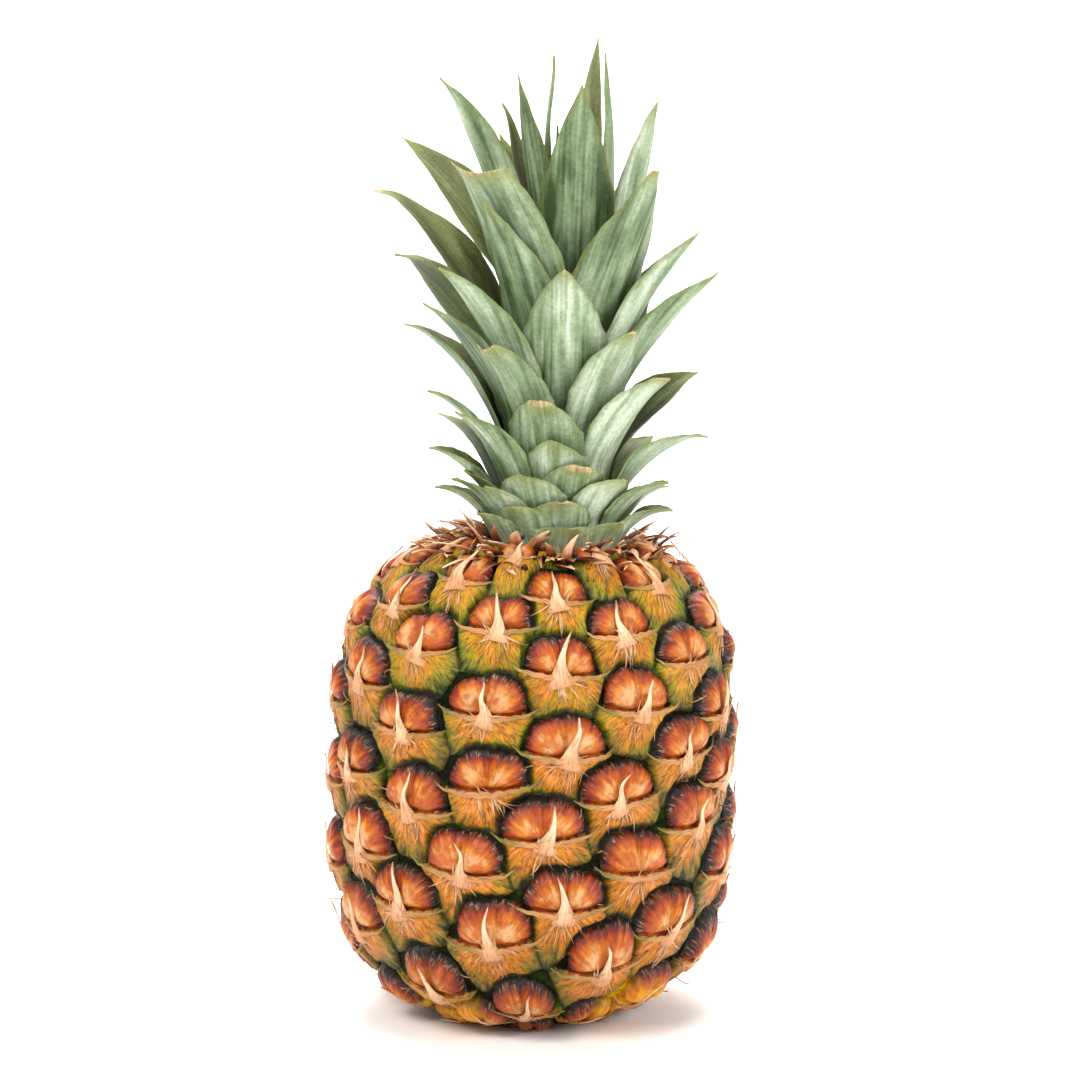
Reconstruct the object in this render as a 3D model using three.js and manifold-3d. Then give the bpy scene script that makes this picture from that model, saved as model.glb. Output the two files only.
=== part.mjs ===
// A ripe pineapple standing on its base: one fruit with raised eyes, the short stem of its crown,
// and the leaves of the crown, each a separate blade.
// Millimetres, +Z up. The origin is the centre of the small flat spot the fruit rests on, and -Y is its front.

import * as THREE from 'three';
import { LoftGeometry } from 'three/addons/geometries/LoftGeometry.js';
import { mergeVertices } from 'three/addons/utils/BufferGeometryUtils.js';
import Module from 'manifold-3d';

const wasm = await Module();
wasm.setup();

// ---------- Driving dimensions ----------

// The barrel of the fruit, measured to the skin between the spikes.
const BODY_RADIUS = 59.3;
const BODY_MIDDLE = 71;
const BODY_HALF_HEIGHT = 73;
const SHOULDER_SQUARENESS = 3.4;
const SIDE_ROUNDNESS = 2.5;
const BODY_SIDE_SHIFT = 2.9;       // the fruit grew slightly to one side, toward +X at its top

// The eyes sit in pairs on opposite sides, and each pair is turned and raised from the one below.
const PAIR_TURN = 67.6;            // degrees from one pair to the next
const START_TURN = 7.25;           // degrees from the front to the first eye of pair 0
const START_RISE = 95.3;           // where pair 0 sits, as a rise over the skin
const PAIR_RISE = 2.92;
const PAIR_RISE_LOSS = 0.012;      // the eyes crowd a little toward the crown
const SIDEWAYS_RISE = 4.5;         // the rows climb more on the +X side
const LOWEST_PAIR = -38;
const HIGHEST_PAIR = 25;
const BOTTOM_CROWDING = 25;        // rise over which the eyes shrink toward the bottom pole
const TOP_CROWDING = 12;           // and toward the crown
const EYE_SWELL = 1.6;             // how far the middle of an eye stands out of the barrel
const EYE_RIM_SWELL = 0.9;
const EYE_RIM_REACH = 0.74;        // where the rim lies between the middle of the eye and its corner
const GROOVE_DEPTH = 3.2;
const SEAT_RADIUS = 21;            // the flat place on top that the crown stem stands on

// The crown, which stands a little to one side of the fruit's middle and leans.
const CROWN_FOOT = new THREE.Vector3(8.2, 0, 138.5);
const CROWN_LEAN = 3.5;            // degrees, toward +X
const STEM_HEIGHT = 86;
const STEM_FOOT_RADIUS = 17;
const STEM_TOP_RADIUS = 4;
const FOOT_LEAN = 24;              // how far the lowest leaf leans from upright at its foot, in degrees
const FOOT_LEAN_FADE = 0.16;       // and how much less for each millimetre up the stem
const LEAN_CURVE = 1.3;            // how late along its length a leaf bends
const LEAF_THICKNESS = 1.1;
const LEAF_STEM_GAP = 0.9;
const LEAF_TIP_HALF_WIDTH = 0.5;
const WIDEST_PART = 0.4;           // the part of its length at which a blade is widest
const FOOT_WIDTH_SHARE = 0.75;
const TAPER_CURVE = 1.7;
const LEAF_CHANNEL = 0.55;         // half the angle, in radians, that a blade is curled across its width
const LEAF_SECTIONS = 6;
const TOUCH_GAP = 0.3;

// Each leaf: where it faces in degrees (0 is the front, 90 is +X), the height of its foot on the stem,
// its length and width, how far its tip leans from upright in degrees, and how blunt the tip is,
// from 0 for a point to 1 for a tip as wide as the blade.
const LEAVES = [
  // The short scales round the neck.
  { turn: -60, foot: 0, length: 14, width: 22, tipLean: 62, blunt: 0 },
  { turn: 10, foot: 0, length: 11, width: 24, tipLean: 50, blunt: 0.1 },
  { turn: 46, foot: 0, length: 14, width: 20, tipLean: 54, blunt: 0 },
  { turn: 150, foot: 0, length: 19, width: 24, tipLean: 75, blunt: 0 },
  { turn: -140, foot: 1, length: 22, width: 22, tipLean: 78, blunt: 0 },
  { turn: -96, foot: 1, length: 25, width: 16, tipLean: 92, blunt: 0 },
  { turn: 80, foot: 1, length: 22, width: 18, tipLean: 90, blunt: 0 },
  { turn: -30, foot: 2, length: 15, width: 20, tipLean: 52, blunt: 0 },
  { turn: 112, foot: 3, length: 25, width: 18, tipLean: 84, blunt: 0 },
  { turn: -66, foot: 4, length: 24, width: 16, tipLean: 76, blunt: 0 },
  { turn: 178, foot: 4, length: 27, width: 24, tipLean: 72, blunt: 0 },
  { turn: -50, foot: 5, length: 18, width: 20, tipLean: 58, blunt: 0 },
  { turn: 2, foot: 5, length: 14, width: 19, tipLean: 50, blunt: 0.15 },
  { turn: 66, foot: 6, length: 25, width: 17, tipLean: 76, blunt: 0 },
  { turn: -88, foot: 7, length: 31, width: 17, tipLean: 78, blunt: 0 },
  { turn: -72, foot: 7, length: 20, width: 20, tipLean: 62, blunt: 0 },
  { turn: -25, foot: 9, length: 18, width: 22, tipLean: 50, blunt: 0 },
  { turn: 43, foot: 9, length: 18, width: 22, tipLean: 54, blunt: 0 },
  { turn: 134, foot: 9, length: 32, width: 22, tipLean: 72, blunt: 0 },
  { turn: -120, foot: 10, length: 38, width: 18, tipLean: 78, blunt: 0 },
  { turn: 82, foot: 12, length: 38, width: 19, tipLean: 80, blunt: 0 },
  { turn: 14, foot: 13, length: 17, width: 21, tipLean: 50, blunt: 0.15 },
  { turn: -160, foot: 14, length: 36, width: 22, tipLean: 66, blunt: 0 },
  { turn: -57, foot: 15, length: 34, width: 22, tipLean: 66, blunt: 0 },
  { turn: -84, foot: 17, length: 38, width: 20, tipLean: 69, blunt: 0 },
  { turn: -4, foot: 17, length: 20, width: 20, tipLean: 46, blunt: 0.1 },
  { turn: 160, foot: 19, length: 42, width: 22, tipLean: 64, blunt: 0 },
  { turn: -16, foot: 22, length: 29, width: 24, tipLean: 54, blunt: 0.15 },
  { turn: 108, foot: 22, length: 42, width: 20, tipLean: 68, blunt: 0 },
  { turn: -104, foot: 23, length: 55, width: 22, tipLean: 70, blunt: 0 },
  { turn: 54, foot: 24, length: 37, width: 22, tipLean: 58, blunt: 0.2 },
  { turn: -140, foot: 25, length: 46, width: 22, tipLean: 58, blunt: 0 },
  { turn: -40, foot: 27, length: 41, width: 24, tipLean: 57, blunt: 0.3 },
  { turn: -78, foot: 29, length: 52, width: 22, tipLean: 58, blunt: 0 },
  { turn: -112, foot: 31, length: 70, width: 20, tipLean: 66, blunt: 0 },
  { turn: 172, foot: 31, length: 50, width: 22, tipLean: 54, blunt: 0 },
  { turn: 34, foot: 33, length: 39, width: 20, tipLean: 44, blunt: 0.1 },
  { turn: -60, foot: 34, length: 58, width: 26, tipLean: 54, blunt: 0 },
  { turn: 84, foot: 36, length: 57, width: 20, tipLean: 52, blunt: 0 },
  { turn: 132, foot: 38, length: 55, width: 22, tipLean: 40, blunt: 0 },
  { turn: -4, foot: 39, length: 51, width: 26, tipLean: 40, blunt: 0 },
  { turn: -90, foot: 40, length: 80, width: 21, tipLean: 60, blunt: 0 },
  { turn: -38, foot: 44, length: 66, width: 23, tipLean: 46, blunt: 0 },
  { turn: -160, foot: 45, length: 62, width: 24, tipLean: 44, blunt: 0 },
  { turn: 72, foot: 45, length: 57, width: 22, tipLean: 42, blunt: 0 },
  { turn: -42, foot: 49, length: 70, width: 30, tipLean: 46, blunt: 0.75 },
  { turn: 160, foot: 49, length: 62, width: 24, tipLean: 38, blunt: 0 },
  { turn: -108, foot: 53, length: 80, width: 22, tipLean: 62, blunt: 0 },
  { turn: 40, foot: 53, length: 64, width: 28, tipLean: 32, blunt: 0.1 },
  { turn: -140, foot: 56, length: 68, width: 22, tipLean: 32, blunt: 0 },
  { turn: -84, foot: 60, length: 82, width: 22, tipLean: 34, blunt: 0 },
  { turn: 0, foot: 64, length: 74, width: 24, tipLean: 21, blunt: 0 },
  { turn: -118, foot: 66, length: 65, width: 14, tipLean: 18, blunt: 0 },
  { turn: 90, foot: 66, length: 67, width: 16, tipLean: 8, blunt: 0 },
  { turn: -48, foot: 71, length: 68, width: 14, tipLean: 17, blunt: 0 },
  { turn: 60, foot: 75, length: 70, width: 10, tipLean: -16, blunt: 0 },
  { turn: 170, foot: 78, length: 72, width: 10, tipLean: 7, blunt: 0 },
  { turn: -90, foot: 81, length: 62, width: 9, tipLean: -9, blunt: 0 },
];

// ---------- Materials ----------

const fruitSkin = () => new THREE.MeshStandardMaterial({ color: 0xb07a3f, roughness: 0.7, metalness: 0 });
const stemFlesh = () => new THREE.MeshStandardMaterial({ color: 0xc9c39a, roughness: 0.8, metalness: 0 });
const leafBlade = () => new THREE.MeshStandardMaterial({ color: 0x7f9177, roughness: 0.6, metalness: 0 });

// ---------- Solids ----------

function solidFrom(geometry) {
  const shape = new THREE.BufferGeometry().copy(geometry);
  shape.deleteAttribute('normal');
  shape.deleteAttribute('uv');
  const merged = mergeVertices(shape, 1e-4);
  const solid = new wasm.Mesh({
    numProp: 3,
    vertProperties: new Float32Array(merged.attributes.position.array),
    triVerts: new Uint32Array(merged.index.array),
  });
  return new wasm.Manifold(solid);
}

function geometryFrom(solid) {
  const { vertProperties, triVerts } = solid.getMesh();
  const geometry = new THREE.BufferGeometry();
  geometry.setAttribute('position', new THREE.BufferAttribute(new Float32Array(vertProperties), 3));
  geometry.setIndex(new THREE.BufferAttribute(new Uint32Array(triVerts), 1));
  geometry.computeVertexNormals();
  return geometry;
}

function largestBody(solid) {
  const bodies = solid.decompose();
  return bodies.reduce((largest, body) => (body.volume() > largest.volume() ? body : largest));
}

// ---------- The fruit ----------

// The barrel is a rounded superellipse, widest at its middle.
function bodyRadius(z) {
  const toPole = Math.min(Math.abs((z - BODY_MIDDLE) / BODY_HALF_HEIGHT), 1);
  return BODY_RADIUS * (1 - toPole ** SHOULDER_SQUARENESS) ** (1 / SIDE_ROUNDNESS);
}

// Rise is a length over the skin that counts less where the barrel is narrow, so that eyes spaced
// evenly in rise all cover the same area. This lists the height reached at each step of rise.
const RISE_STEPS = 2000;
const riseTable = [{ rise: 0, z: BODY_MIDDLE - BODY_HALF_HEIGHT, radius: 0 }];
for (let i = 1; i <= RISE_STEPS; i++) {
  const below = riseTable[i - 1];
  const z = BODY_MIDDLE - BODY_HALF_HEIGHT * Math.cos(Math.PI * i / RISE_STEPS);
  const radius = i === RISE_STEPS ? 0 : bodyRadius(z);
  const alongSkin = Math.hypot(z - below.z, radius - below.radius);
  const rise = below.rise + alongSkin * (radius + below.radius) / (2 * BODY_RADIUS);
  riseTable.push({ rise, z, radius });
}

const TOP_RISE = riseTable[RISE_STEPS].rise;

// The eyes would run past the poles if they kept their spacing. Near each pole they crowd together
// instead, shrinking as they go. This gives the rise an eye settles at, and the scale of the eyes there.
function settle(evenRise) {
  const fromTop = TOP_RISE - evenRise;
  if (evenRise < BOTTOM_CROWDING) {
    const shrink = Math.exp((evenRise - BOTTOM_CROWDING) / BOTTOM_CROWDING);
    return { rise: BOTTOM_CROWDING * shrink, scale: Math.sqrt(shrink) };
  }
  if (fromTop < TOP_CROWDING) {
    const shrink = Math.exp((fromTop - TOP_CROWDING) / TOP_CROWDING);
    return { rise: TOP_RISE - TOP_CROWDING * shrink, scale: Math.sqrt(shrink) };
  }
  return { rise: evenRise, scale: 1 };
}

// The point on the barrel at a turn (degrees from the front, toward +X) and a rise, moved out by a swell.
function skinPoint(turn, evenRise, fullSwell) {
  const { rise, scale } = settle(evenRise);
  const swell = fullSwell * scale;
  const above = Math.max(1, riseTable.findIndex((step) => step.rise >= rise));
  const low = riseTable[above - 1];
  const high = riseTable[above];
  const part = (rise - low.rise) / (high.rise - low.rise);
  const radius = THREE.MathUtils.lerp(low.radius, high.radius, part);
  const z = THREE.MathUtils.lerp(low.z, high.z, part);
  const slope = new THREE.Vector2(high.z - low.z, low.radius - high.radius).normalize();
  const angle = THREE.MathUtils.degToRad(turn);
  const reach = radius + swell * slope.x;
  const height = z + swell * slope.y;
  const shift = BODY_SIDE_SHIFT * height / (2 * BODY_MIDDLE);
  return new THREE.Vector3(reach * Math.sin(angle) + shift, -reach * Math.cos(angle), height);
}

// An eye is named by its pair and by its side of the fruit, 0 or 1.
function eyeTurn(pair, side) {
  return START_TURN + PAIR_TURN * pair + 180 * side;
}

function eyeRise(pair, side) {
  const sideways = SIDEWAYS_RISE * Math.sin(THREE.MathUtils.degToRad(eyeTurn(pair, side)));
  return START_RISE + PAIR_RISE * pair - PAIR_RISE_LOSS * pair * pair + sideways;
}

// Every eye touches six others. Going up-left is 5 pairs on, going up-right is 3 pairs on and over to
// the other side, and going straight up is both of these.
const LEFT_PAIRS = 5;
const RIGHT_PAIRS = 3;
const UP_PAIRS = LEFT_PAIRS + RIGHT_PAIRS;
const LEFT_TURN = LEFT_PAIRS * PAIR_TURN - 360;
const RIGHT_TURN = RIGHT_PAIRS * PAIR_TURN + 180 - 360;

// The two corners above an eye, where it meets two of its neighbours.
function upperCorner(pair, side, isLeft) {
  const aside = isLeft ? eyeRise(pair + LEFT_PAIRS, side) : eyeRise(pair + RIGHT_PAIRS, 1 - side);
  const turnAside = isLeft ? LEFT_TURN : RIGHT_TURN;
  const rise = (eyeRise(pair, side) + aside + eyeRise(pair + UP_PAIRS, 1 - side)) / 3;
  return { turn: eyeTurn(pair, side) + (turnAside + LEFT_TURN + RIGHT_TURN) / 3, rise };
}

// The six corners of an eye, going round it, each as one of the upper corners of some eye.
function cornersOf(pair, side) {
  return [
    { pair, side, isLeft: false },
    { pair: pair - LEFT_PAIRS, side, isLeft: true },
    { pair: pair - UP_PAIRS, side: 1 - side, isLeft: false },
    { pair: pair - UP_PAIRS, side: 1 - side, isLeft: true },
    { pair: pair - RIGHT_PAIRS, side: 1 - side, isLeft: false },
    { pair, side, isLeft: true },
  ];
}

function buildFruit() {
  const positions = [];
  const triangles = [];
  const cornerIndex = new Map();
  const addPoint = (point) => positions.push(point.x, point.y, point.z) / 3 - 1;
  const cornerPoint = (corner) => {
    const { turn, rise } = upperCorner(corner.pair, corner.side, corner.isLeft);
    return { turn, rise };
  };
  const sharedCorner = (corner) => {
    const key = `${corner.pair} ${corner.side} ${corner.isLeft}`;
    if (!cornerIndex.has(key)) {
      const { turn, rise } = cornerPoint(corner);
      cornerIndex.set(key, addPoint(skinPoint(turn, rise, -GROOVE_DEPTH)));
    }
    return cornerIndex.get(key);
  };

  for (let pair = LOWEST_PAIR; pair <= HIGHEST_PAIR; pair++) {
    for (const side of [0, 1]) {
      const turn = eyeTurn(pair, side);
      const rise = eyeRise(pair, side);
      const corners = cornersOf(pair, side);
      const middle = addPoint(skinPoint(turn, rise, EYE_SWELL));
      const rim = corners.map((corner) => {
        const place = cornerPoint(corner);
        const turnAside = ((place.turn - turn) % 360 + 540) % 360 - 180;
        const rimTurn = turn + EYE_RIM_REACH * turnAside;
        const rimRise = THREE.MathUtils.lerp(rise, place.rise, EYE_RIM_REACH);
        return addPoint(skinPoint(rimTurn, rimRise, EYE_RIM_SWELL));
      });
      const outer = corners.map(sharedCorner);
      for (let i = 0; i < 6; i++) {
        const next = (i + 1) % 6;
        triangles.push(middle, rim[next], rim[i]);
        triangles.push(rim[i], rim[next], outer[next]);
        triangles.push(rim[i], outer[next], outer[i]);
      }
    }
  }
  closeHoles(positions, triangles, addPoint);

  const geometry = new THREE.BufferGeometry();
  geometry.setAttribute('position', new THREE.Float32BufferAttribute(positions, 3));
  geometry.setIndex(triangles);
  const barrel = solidFrom(geometry);

  const below = new THREE.BoxGeometry(200, 200, 40).translate(0, 0, -20);
  const seat = new THREE.CylinderGeometry(SEAT_RADIUS, SEAT_RADIUS, 40, 24)
    .rotateX(Math.PI / 2)
    .translate(0, 0, 20 - TOUCH_GAP);
  placeInCrown(seat);
  return largestBody(barrel.subtract(solidFrom(below)).subtract(solidFrom(seat)));
}

// The mesh of eyes is open at both poles. Each open edge is joined to one point inside its rim.
function closeHoles(positions, triangles, addPoint) {
  const following = new Map();
  const edges = new Set();
  for (let i = 0; i < triangles.length; i += 3) {
    for (let side = 0; side < 3; side++) {
      edges.add(`${triangles[i + side]} ${triangles[i + (side + 1) % 3]}`);
    }
  }
  for (const edge of edges) {
    const [from, to] = edge.split(' ').map(Number);
    if (!edges.has(`${to} ${from}`)) {
      following.set(from, to);
    }
  }
  while (following.size > 0) {
    const loop = [];
    let point = following.keys().next().value;
    while (following.has(point)) {
      loop.push(point);
      const next = following.get(point);
      following.delete(point);
      point = next;
    }
    const middle = new THREE.Vector3();
    for (const index of loop) {
      middle.add(new THREE.Vector3().fromArray(positions, index * 3));
    }
    const cap = addPoint(middle.divideScalar(loop.length));
    loop.forEach((index, i) => triangles.push(loop[(i + 1) % loop.length], index, cap));
  }
}

// ---------- The crown ----------

// The crown is built standing on its own origin, then leaned and set on the fruit.
function placeInCrown(geometry) {
  geometry.rotateY(THREE.MathUtils.degToRad(CROWN_LEAN));
  geometry.translate(CROWN_FOOT.x, CROWN_FOOT.y, CROWN_FOOT.z);
  return geometry;
}

function stemRadius(z) {
  return THREE.MathUtils.lerp(STEM_FOOT_RADIUS, STEM_TOP_RADIUS, z / STEM_HEIGHT);
}

// The stem as a closed solid, grown by a margin on its side and top.
function stemSolid(margin) {
  const profile = [
    new THREE.Vector2(0, 0),
    new THREE.Vector2(stemRadius(0) + margin, 0),
    new THREE.Vector2(stemRadius(STEM_HEIGHT / 2) + margin, STEM_HEIGHT / 2),
    new THREE.Vector2(stemRadius(STEM_HEIGHT) + margin, STEM_HEIGHT),
    new THREE.Vector2(0, STEM_HEIGHT + 3 + margin),
  ];
  return solidFrom(placeInCrown(new THREE.LatheGeometry(profile, 20).rotateX(Math.PI / 2)));
}

// The middle line of a leaf, seen in the upright plane through the crown's axis: distance from the axis,
// height, and lean from upright at each section.
function leafLine(leaf, length) {
  const stepsPerSection = 6;
  const steps = LEAF_SECTIONS * stepsPerSection;
  const footLean = FOOT_LEAN - FOOT_LEAN_FADE * leaf.foot;
  const line = [];
  let reach = stemRadius(leaf.foot) + LEAF_STEM_GAP;
  let height = leaf.foot;
  for (let i = 0; i <= steps; i++) {
    const along = length * i / steps;
    const bent = (leaf.tipLean - footLean) * (along / leaf.length) ** LEAN_CURVE;
    const lean = THREE.MathUtils.degToRad(footLean + bent);
    if (i % stepsPerSection === 0) {
      line.push({ reach, height, lean, part: i / steps });
    }
    reach += Math.sin(lean) * length / steps;
    height += Math.cos(lean) * length / steps;
  }
  return line;
}

// Half the width of a blade: narrowed at the foot, widest short of its middle, and drawn to its tip.
function leafHalfWidth(leaf, part) {
  const toWidest = Math.min(part / WIDEST_PART, 1);
  const foot = THREE.MathUtils.lerp(FOOT_WIDTH_SHARE, 1, Math.sin(toWidest * Math.PI / 2));
  const pastWidest = Math.min(Math.max((part - WIDEST_PART) / (1 - WIDEST_PART), 0), 1);
  const taper = leaf.blunt + (1 - leaf.blunt) * (1 - pastWidest ** TAPER_CURVE);
  return Math.max(leaf.width / 2 * foot * taper, LEAF_TIP_HALF_WIDTH);
}

// One blade as a closed solid, grown on all sides by a margin. It is a curled strip: the hollow of the
// curl faces the crown's axis, and at the foot the curl follows the stem.
function leafSolid(leaf, margin) {
  const half = LEAF_THICKNESS / 2 + margin;
  const acrossParts = [-1, -0.4, 0.4, 1];
  const sections = leafLine(leaf, leaf.length + margin).map((place) => {
    const halfWidth = leafHalfWidth(leaf, place.part) + margin;
    const round = Math.min(halfWidth / place.reach, 1.1);
    const curl = THREE.MathUtils.lerp(round, LEAF_CHANNEL, Math.min(place.part / 0.5, 1));
    const bow = halfWidth / curl;
    const pointAt = (across, radius) => {
      const aside = radius * Math.sin(across * curl);
      const inward = bow - radius * Math.cos(across * curl);
      const reach = place.reach - inward * Math.cos(place.lean);
      return new THREE.Vector3(aside, -reach, place.height + inward * Math.sin(place.lean));
    };
    const hollow = acrossParts.map((across) => pointAt(across, bow - half));
    const back = acrossParts.map((across) => pointAt(across, bow + half));
    return [...back, ...hollow.reverse()];
  });
  const blade = new LoftGeometry(sections, { closed: true, capStart: true, capEnd: true });
  blade.rotateZ(THREE.MathUtils.degToRad(leaf.turn));
  return solidFrom(placeInCrown(blade));
}

// The leaves overlap like scales. Going up the stem, each leaf is trimmed where it would run into the
// leaves below it, which keeps the outer, visible blade whole. Its foot is trimmed to clear the stem.
function buildLeaves() {
  const stem = stemSolid(TOUCH_GAP);
  const lowerLeaves = [];
  return LEAVES.map((leaf) => {
    let blade = leafSolid(leaf, 0).subtract(stem);
    for (const lower of lowerLeaves) {
      blade = blade.subtract(lower);
    }
    lowerLeaves.push(leafSolid(leaf, TOUCH_GAP));
    return largestBody(blade);
  });
}

// ---------- The whole pineapple ----------

function addPiece(group, name, solid, material) {
  const mesh = new THREE.Mesh(geometryFrom(solid), material);
  mesh.name = name;
  group.add(mesh);
}

const pineapple = new THREE.Group();
pineapple.name = 'pineapple';
addPiece(pineapple, 'fruit', buildFruit(), fruitSkin());
addPiece(pineapple, 'crown_stem', stemSolid(0), stemFlesh());
buildLeaves().forEach((blade, i) => {
  addPiece(pineapple, `leaf_${String(i + 1).padStart(2, '0')}`, blade, leafBlade());
});

export default pineapple;
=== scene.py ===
import logging
import math
from dataclasses import dataclass, field
from enum import Enum
from functools import partial
from typing import Any, NamedTuple

import bpy
import numpy as np
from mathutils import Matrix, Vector


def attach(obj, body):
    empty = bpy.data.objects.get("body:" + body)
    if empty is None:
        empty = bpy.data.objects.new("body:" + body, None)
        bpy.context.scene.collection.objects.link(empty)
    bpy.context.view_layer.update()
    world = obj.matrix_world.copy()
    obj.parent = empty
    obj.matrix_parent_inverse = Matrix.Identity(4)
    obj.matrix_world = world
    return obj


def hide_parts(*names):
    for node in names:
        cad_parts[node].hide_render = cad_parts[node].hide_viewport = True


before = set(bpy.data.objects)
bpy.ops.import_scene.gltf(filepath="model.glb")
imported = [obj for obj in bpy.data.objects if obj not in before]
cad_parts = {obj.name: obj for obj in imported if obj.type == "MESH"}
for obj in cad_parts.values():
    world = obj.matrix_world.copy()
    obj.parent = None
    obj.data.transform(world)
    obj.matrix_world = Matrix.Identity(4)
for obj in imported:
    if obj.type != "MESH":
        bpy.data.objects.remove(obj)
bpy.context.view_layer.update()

log = logging.getLogger("pineapple")

MM = 0.001
BODY = "root"
GOLDEN_ANGLE = 137.5

# Settings that many nodes share.
PLUS = {"operation": "ADD"}
MINUS = {"operation": "SUBTRACT"}
TIMES = {"operation": "MULTIPLY"}
TIMES_PLUS = {"operation": "MULTIPLY_ADD"}
BLEND = {"data_type": "RGBA"}
TINT = {"data_type": "RGBA", "blend_type": "MULTIPLY"}

# The output that a kind of node is used for, where that isn't its first.
MAIN_OUTPUT = {"Attribute": "Vector", "Mix": 2, "TexCoord": "Object", "TexNoise": "Fac"}


# ---------------------------------------------------------------- small helpers


def linear(hex_colour: str, alpha: float = 1.0) -> tuple[float, float, float, float]:
    """Turn an sRGB hex colour into a linear one.

    Args:
        hex_colour: six hex digits after a hash sign.
        alpha: opacity to carry along.

    Returns:
        Linear red, green and blue, and the opacity.
    """
    channels = [int(hex_colour[i : i + 2], 16) / 255 for i in (1, 3, 5)]
    red, green, blue = (c / 12.92 if c <= 0.04045 else ((c + 0.055) / 1.055) ** 2.4 for c in channels)
    return (red, green, blue, alpha)


def add_node(
    tree: Any, kind: str, settings: dict[str, Any] | None = None, links: dict[Any, Any] | None = None
) -> bpy.types.NodeSocket:
    """Add one node with its settings, its input values and its links.

    Args:
        tree: the node tree to add to.
        kind: the node's type, without the word that all types start with.
        settings: attributes to set; "stops" sets the stops of a colour ramp.
        links: inputs by name or number, each a socket to link from or a plain value.

    Returns:
        The output that such a node is used for.
    """
    node = tree.nodes.new("ShaderNode" + kind)
    for name, value in (settings or {}).items():
        if name == "stops":
            ramp = node.color_ramp
            while len(ramp.elements) < len(value):
                ramp.elements.new(0.5)
            for element, (position, colour) in zip(ramp.elements, value):
                element.position = position
                element.color = linear(colour)
        else:
            setattr(node, name, value)
    for name, value in (links or {}).items():
        if isinstance(value, bpy.types.NodeSocket):
            tree.links.new(value, node.inputs[name])
        else:
            node.inputs[name].default_value = value
    return node.outputs[MAIN_OUTPUT.get(kind, 0)]


def read_attribute(tree: Any, name: str) -> Any:
    """Read a point attribute in a material.

    Args:
        tree: the node tree to add to.
        name: the attribute's name.

    Returns:
        Three outputs, one for each value of the attribute.
    """
    vector = add_node(tree, "Attribute", {"attribute_name": name})
    return add_node(tree, "SeparateXYZ", links={0: vector}).node.outputs


def smooth_step(low: float, high: float, value: np.ndarray) -> np.ndarray:
    """Rise smoothly from 0 at low to 1 at high.

    Args:
        low: where the rise starts.
        high: where it ends.
        value: the values to look up.

    Returns:
        A share from 0 to 1 for each value.
    """
    part = np.clip((value - low) / (high - low), 0.0, 1.0)
    return part * part * (3.0 - 2.0 * part)


def mesh_object(
    name: str,
    points: np.ndarray,
    faces: list[np.ndarray],
    attributes: dict[str, np.ndarray],
    material: bpy.types.Material,
) -> bpy.types.Object:
    """Make a smooth mesh object from arrays.

    Args:
        name: the piece's name.
        points: N x 3 positions in millimetres.
        faces: arrays of point numbers, one array for each number of corners.
        attributes: N x 3 values for each named point attribute.
        material: what the piece is made of.

    Returns:
        The new object, linked to the scene.
    """
    mesh = bpy.data.meshes.new(name)
    mesh.vertices.add(len(points))
    mesh.vertices.foreach_set("co", (points * MM).astype(np.float32).ravel())
    corners = np.concatenate([f.ravel() for f in faces]).astype(np.int32)
    sizes = np.concatenate([np.full(len(f), f.shape[1]) for f in faces])
    mesh.loops.add(len(corners))
    mesh.loops.foreach_set("vertex_index", corners)
    mesh.polygons.add(len(sizes))
    mesh.polygons.foreach_set("loop_start", (np.cumsum(sizes) - sizes).astype(np.int32))
    for key, values in attributes.items():
        layer = mesh.attributes.new(key, "FLOAT_VECTOR", "POINT")
        layer.data.foreach_set("vector", values.astype(np.float32).ravel())
    mesh.update(calc_edges=True)
    mesh.validate()
    mesh.shade_smooth()
    mesh.materials.append(material)
    obj = bpy.data.objects.new(name, mesh)
    bpy.context.scene.collection.objects.link(obj)
    return obj


def new_material(name: str) -> tuple[bpy.types.Material, Any, Any]:
    """Start a node material.

    Args:
        name: the material's name.

    Returns:
        The material, its node tree and its Principled shader.
    """
    material = bpy.data.materials.new(name)
    material.use_nodes = True
    tree = material.node_tree
    return material, tree, tree.nodes["Principled BSDF"]


# ---------------------------------------------------------------- the barrel and its eyes


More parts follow.
